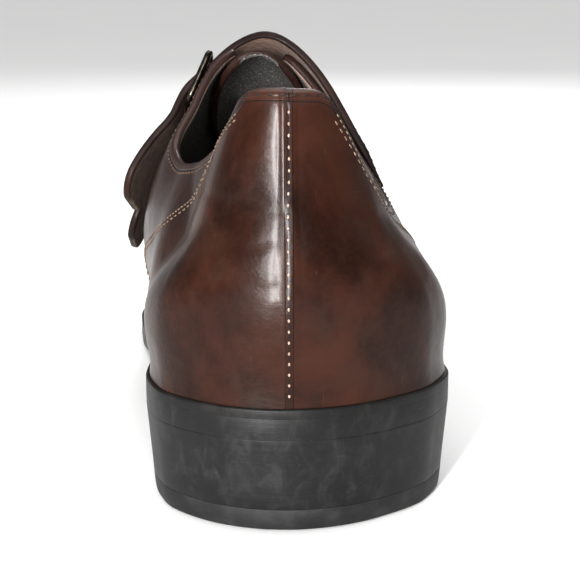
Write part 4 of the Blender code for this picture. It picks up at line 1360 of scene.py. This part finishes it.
strap_thread, strap_holes = Pile(), Pile()
for strap_row in STRAP_ROWS:
    one_strap = Strap(strap_row)
    make_strap(one_strap)
    sew_strap(one_strap, strap_thread, strap_holes)
    make_buckle(one_strap)
strap_thread.make("strap_stitches", BROWN_THREAD, "strap_leather")
strap_holes.make("strap_holes", HOLE_SHADE, "strap_leather", smooth_shade=False)


# ---------------------------------------------------------------- bottom unit
BOTTOM_TURNS = spaced_turns(1.3, 2.2)
EDGE_INSET = 0.12
# The layers reach this far over the CAD's gap into each other, so that no dark line shows between them.
OVERLAP = 0.02


def rung_point(side, turn, inset):
    """Outline inset by this much, with the two sides of a rung at one station."""
    x, _ = outline(side, turn, inset)
    return x, (outline(1.0, turn, inset)[1] + outline(-1.0, turn, inset)[1]) / 2.0


def rungs(turns, place, steps):
    """Points in rows straight across the sole, from the medial side to the lateral side."""
    medial, lateral = (np.stack(place(np.full_like(turns, side), turns), axis=1) for side in (1.0, -1.0))
    shares = np.linspace(0.0, 1.0, steps + 1)[:, None]
    return medial[:, None] * (1.0 - shares) + lateral[:, None] * shares


def plate(name, turns, profile, looks, slot, node, steps=16):
    """A solid whose edge runs through rings of (place, kind); the first and last are filled across."""
    fills = [rungs(turns, place, steps) for place, _ in profile]
    loops = [np.concatenate([fill[:, 0], fill[-1, 1:-1], fill[::-1, -1]]) for fill in fills]
    kinds = [kind for _, kind in profile]
    sheets = [(np.stack(pair), kind) for *pair, kind in zip(loops, loops[1:], kinds[1:])]
    sheets += [(fills[0], kinds[0]), (fills[-1], kinds[-1])]
    pile, face_kinds = Pile(), []
    for sheet, kind in sheets:
        faces = grid_faces(np.arange(sheet[..., 0].size).reshape(sheet.shape[:2]))
        pile.add(sheet.reshape(-1, 3), faces)
        face_kinds += [kind] * len(faces)
    mend(make_mesh(name, np.concatenate(pile.points), pile.faces, looks, slot, node, face_kinds), weld=True)


def corner(radius, steps):
    """A rounded corner from its lower end: distances from the square corner's two faces."""
    angles = np.linspace(0.0, math.pi / 2.0, steps + 1)
    return [(radius * (1.0 - math.sin(angle)), radius * (1.0 - math.cos(angle))) for angle in angles]


def level_ring(inset, level, shift=0.0, closed_at_heel=False):
    """One ring of a plate; a corner closed at the heel is square there, flush with the heel block."""

    def place(side, turn):
        share = 0.04 + 0.96 * smooth(station_of(turn), 72.0, 82.0) if closed_at_heel else 1.0
        x, station = rung_point(side, turn, EDGE_INSET + (inset - EDGE_INSET) * share)
        return x, station, level(station) + shift * share

    return place


def make_outsole():
    top = GAP + OVERLAP
    rings = [level_ring(7.0, TREAD)]
    rings += [level_ring(EDGE_INSET + inward, TREAD, rise, True) for inward, rise in corner(0.7, 4)]
    rings += [level_ring(EDGE_INSET + inward, outsole_top, top - drop) for drop, inward in corner(0.02, 4)]
    profile = [(place, int(k < 2)) for k, place in enumerate(rings)]
    plate("outsole_leather", BOTTOM_TURNS, profile, [EDGE_LOOK, TREAD_LOOK], "sole_leather", "outsole")


def make_insole():
    def ring(extra, level, shift):
        def place(side, turn):
            x, station = rung_point(side, turn, edge_width(side, turn) + WALL + 0.5 + extra)
            return x, station, level(station) + shift

        return place, 0

    profile = [
        ring(0.0, outsole_top, GAP),
        ring(0.0, feather_level, INSOLE_RISE - 0.6),
        ring(0.2, feather_level, INSOLE_RISE - 0.2),
        ring(0.6, feather_level, INSOLE_RISE),
        ring(5.0, feather_level, INSOLE_RISE),
    ]
    plate("insole_sock", BOTTOM_TURNS, profile, [SOCK], "insole_leather", "insole")


def make_welt():
    """The strip round the sole: its outer edge follows the outline, its inner edge the upper's feather."""
    top = GAP + WELT_THICKNESS
    outer = [(EDGE_INSET + inward, GAP + rise) for inward, rise in corner(0.02, 4)]
    outer += [(EDGE_INSET + inward, top - drop) for drop, inward in corner(0.55, 5)]
    inner = [(-0.5, top), (-0.1, top - 0.25), (0.2, top), (WALL - 0.1, top), (WALL - 0.1, GAP)]
    rings = []
    for follows_upper, shape in ((0.0, outer), (1.0, inner)):
        for inset, level in shape:
            halves = []
            for side in (1.0, -1.0):
                width = edge_width(side, BOTTOM_TURNS) * follows_upper
                x, station = outline(side, BOTTOM_TURNS, width + inset)
                halves.append(np.stack([x, station, outsole_top(station) + level], axis=1))
            rings.append(np.concatenate([halves[0], halves[1][-2:0:-1]]))
    points, faces = loft(rings, closed=True)
    mend(make_mesh("welt_leather_ring", points, faces, [WELT_LOOK], "welt_leather", "welt"), weld=True)
    thread = Pile()
    sewn = BOTTOM_TURNS[station_of(BOTTOM_TURNS) > 112.0]
    for side in (1, -1):
        x, station = outline(side, sewn, edge_width(side, sewn) * 0.45)
        line = np.stack([x, station, outsole_top(station) + top], axis=1)
        stitch_run(thread, line, np.tile((0.0, 0.0, 1.0), (len(line), 1)), 2.6, 1.9, 0.7, 0.36)
    thread.make("welt_stitches", FOXING_THREAD, "welt_leather")


def make_heel_part(name, levels, look, slot, node):
    """A slice of the heel block from rows of height, inset, and the breast's place past its station."""
    turns = turn_of(BREAST_STATION) * np.sin(np.linspace(0.0, math.pi / 2.0, 96))
    share = np.linspace(0.0, 1.0, len(turns)) ** 3

    def ring(height, inset, ahead):
        def place(side, turn):
            x, station = rung_point(side, turn, inset)
            return x, station + (BREAST_STATION + ahead - station[-1]) * share, np.full_like(x, height)

        return place, 0

    plate(name, turns, [ring(*level) for level in levels], [look], slot, node, 25)


def make_heel():
    base, top = TOP_LIFT_THICKNESS + GAP / 2.0, HEEL_STACK_TOP + GAP + OVERLAP
    heights = (base, 9.0, 13.5, top)
    levels = []
    for height, dent in (
        (base, 0.4),
        (base + 0.03, 0.03),
        (base + 0.12, 0.0),
        *((height, 0.0) for height in (8.0, 10.0, 12.0, 13.5, 15.5, 19.8, top - 0.25, top - 0.05)),
        (top, 0.3),
    ):
        inset = float(np.interp(height, heights, (1.6, 1.3, 0.9, 0.14))) + dent
        ahead = float(np.interp(height, heights, (-1.6, -1.2, -0.7, 0.0))) - dent
        levels.append((height, inset, ahead))
    make_heel_part("heel_stack", levels, HEEL_LOOK, "heel_leather", "heel")
    foot = base - OVERLAP
    edge = ((0.15, 2.4), (0.6, 2.1), (2.5, 1.82), (foot - 0.1, 1.61), (foot - 0.03, 1.63))
    levels = [(0.0, 2.9, -2.9), *((height, inset, 0.1 - inset) for height, inset in edge), (foot, 2.0, -2.0)]
    make_heel_part("heel_top_piece", levels, LIFT_LOOK, "lift_rubber", "heel_top_lift")


make_outsole()
make_insole()
make_welt()
make_heel()


# ---------------------------------------------------------------- floor, light and camera
def floor_look():
    look = Look("studio_floor")
    colour = look.blend(look.noise(3.0, 3.0, 0.5), (0.86, 0.86, 0.86), (0.9, 0.9, 0.895))
    fine = look.noise(160.0, 2.0, 0.5)
    return look.finish(colour, 0.85, look.bump(fine, 0.00003, 0.2), Specular_IOR_Level=0.1)


def place_item(name, data, place=(0.0, 0.0, 0.0), aim=None):
    """Puts a light, the camera or the floor in the scene, turned towards its aim."""
    item = bpy.data.objects.new(name, data)
    item.location = place
    if aim:
        item.rotation_euler = (Vector(aim) - Vector(place)).to_track_quat("-Z", "Y").to_euler()
    bpy.context.scene.collection.objects.link(item)
    return item


def make_floor():
    """A pale disc, level round the shoe and rising gently far away so that no horizon shows."""
    level_reach, sink = 1.6, 0.0002
    radii = np.concatenate([np.linspace(0.2, level_reach, 8), np.linspace(1.8, 6.6, 40)])[:, None]
    angles = np.linspace(0.0, 2.0 * math.pi, 97)[:-1]
    rise = 0.02 * np.maximum(radii - level_reach, 0.0) ** 2 - sink
    grid = np.stack(arrays(radii * np.cos(angles), radii * np.sin(angles), rise), axis=2)
    centre = len(radii) * len(angles)
    index = wrapped(np.arange(centre).reshape(len(radii), -1))
    faces = grid_faces(index) + [(centre, int(a), int(b)) for a, b in zip(index[0, :-1], index[0, 1:])]
    points = np.concatenate([grid.reshape(-1, 3), [[0.0, 0.0, -sink]]])
    mesh = bpy.data.meshes.new("studio_floor")
    mesh.from_pydata(points.tolist(), [], faces)
    mesh.shade_smooth()
    mesh.materials.append(floor_look())
    place_item("studio_floor", mesh)


def soft_light(name, place, aim, width, height, power):
    data = bpy.data.lights.new(name, "AREA")
    data.shape = "RECTANGLE"
    data.size, data.size_y = width, height
    data.energy = power
    place_item(name, data, place, aim)


make_floor()
soft_light("key_strip", (-0.45, -1.2, 0.34), (0.0, -0.03, 0.07), 0.1, 0.62, 34.0)
soft_light("front", (0.1, -1.7, 0.9), (0.0, 0.05, 0.05), 0.5, 0.4, 10.0)
soft_light("top", (0.1, 0.35, 1.7), (0.0, 0.1, 0.0), 1.2, 1.2, 7.5)
soft_light("left", (-1.6, 0.5, 1.1), (0.0, 0.1, 0.05), 0.5, 0.5, 1.2)
soft_light("right", (1.6, 0.4, 1.0), (0.0, 0.1, 0.05), 0.5, 0.5, 2.0)
soft_light("toe", (0.3, 1.9, 1.1), (0.0, 0.15, 0.05), 0.6, 0.6, 6.0)
overhead = bpy.data.lights.new("overhead", "SUN")
overhead.energy, overhead.angle = 1.6, math.radians(70.0)
place_item("overhead", overhead).rotation_euler = (math.radians(-14.0), 0.0, 0.0)

scene = bpy.context.scene
scene.world = bpy.data.worlds.new("studio")
scene.world.use_nodes = True
background = scene.world.node_tree.nodes["Background"].inputs
background["Color"].default_value = (1.0, 1.0, 1.0, 1.0)
background["Strength"].default_value = 0.22
scene.view_settings.view_transform = "Standard"
scene.view_settings.gamma = 0.85
scene.view_settings.exposure = 0.1

lens = bpy.data.cameras.new("camera")
lens.lens, lens.sensor_width, lens.clip_start = 80.0, 36.0, 0.01
scene.camera = place_item("camera", lens, (-0.012, -0.3147, 0.1135), (-0.001, 0.0132, 0.0458))
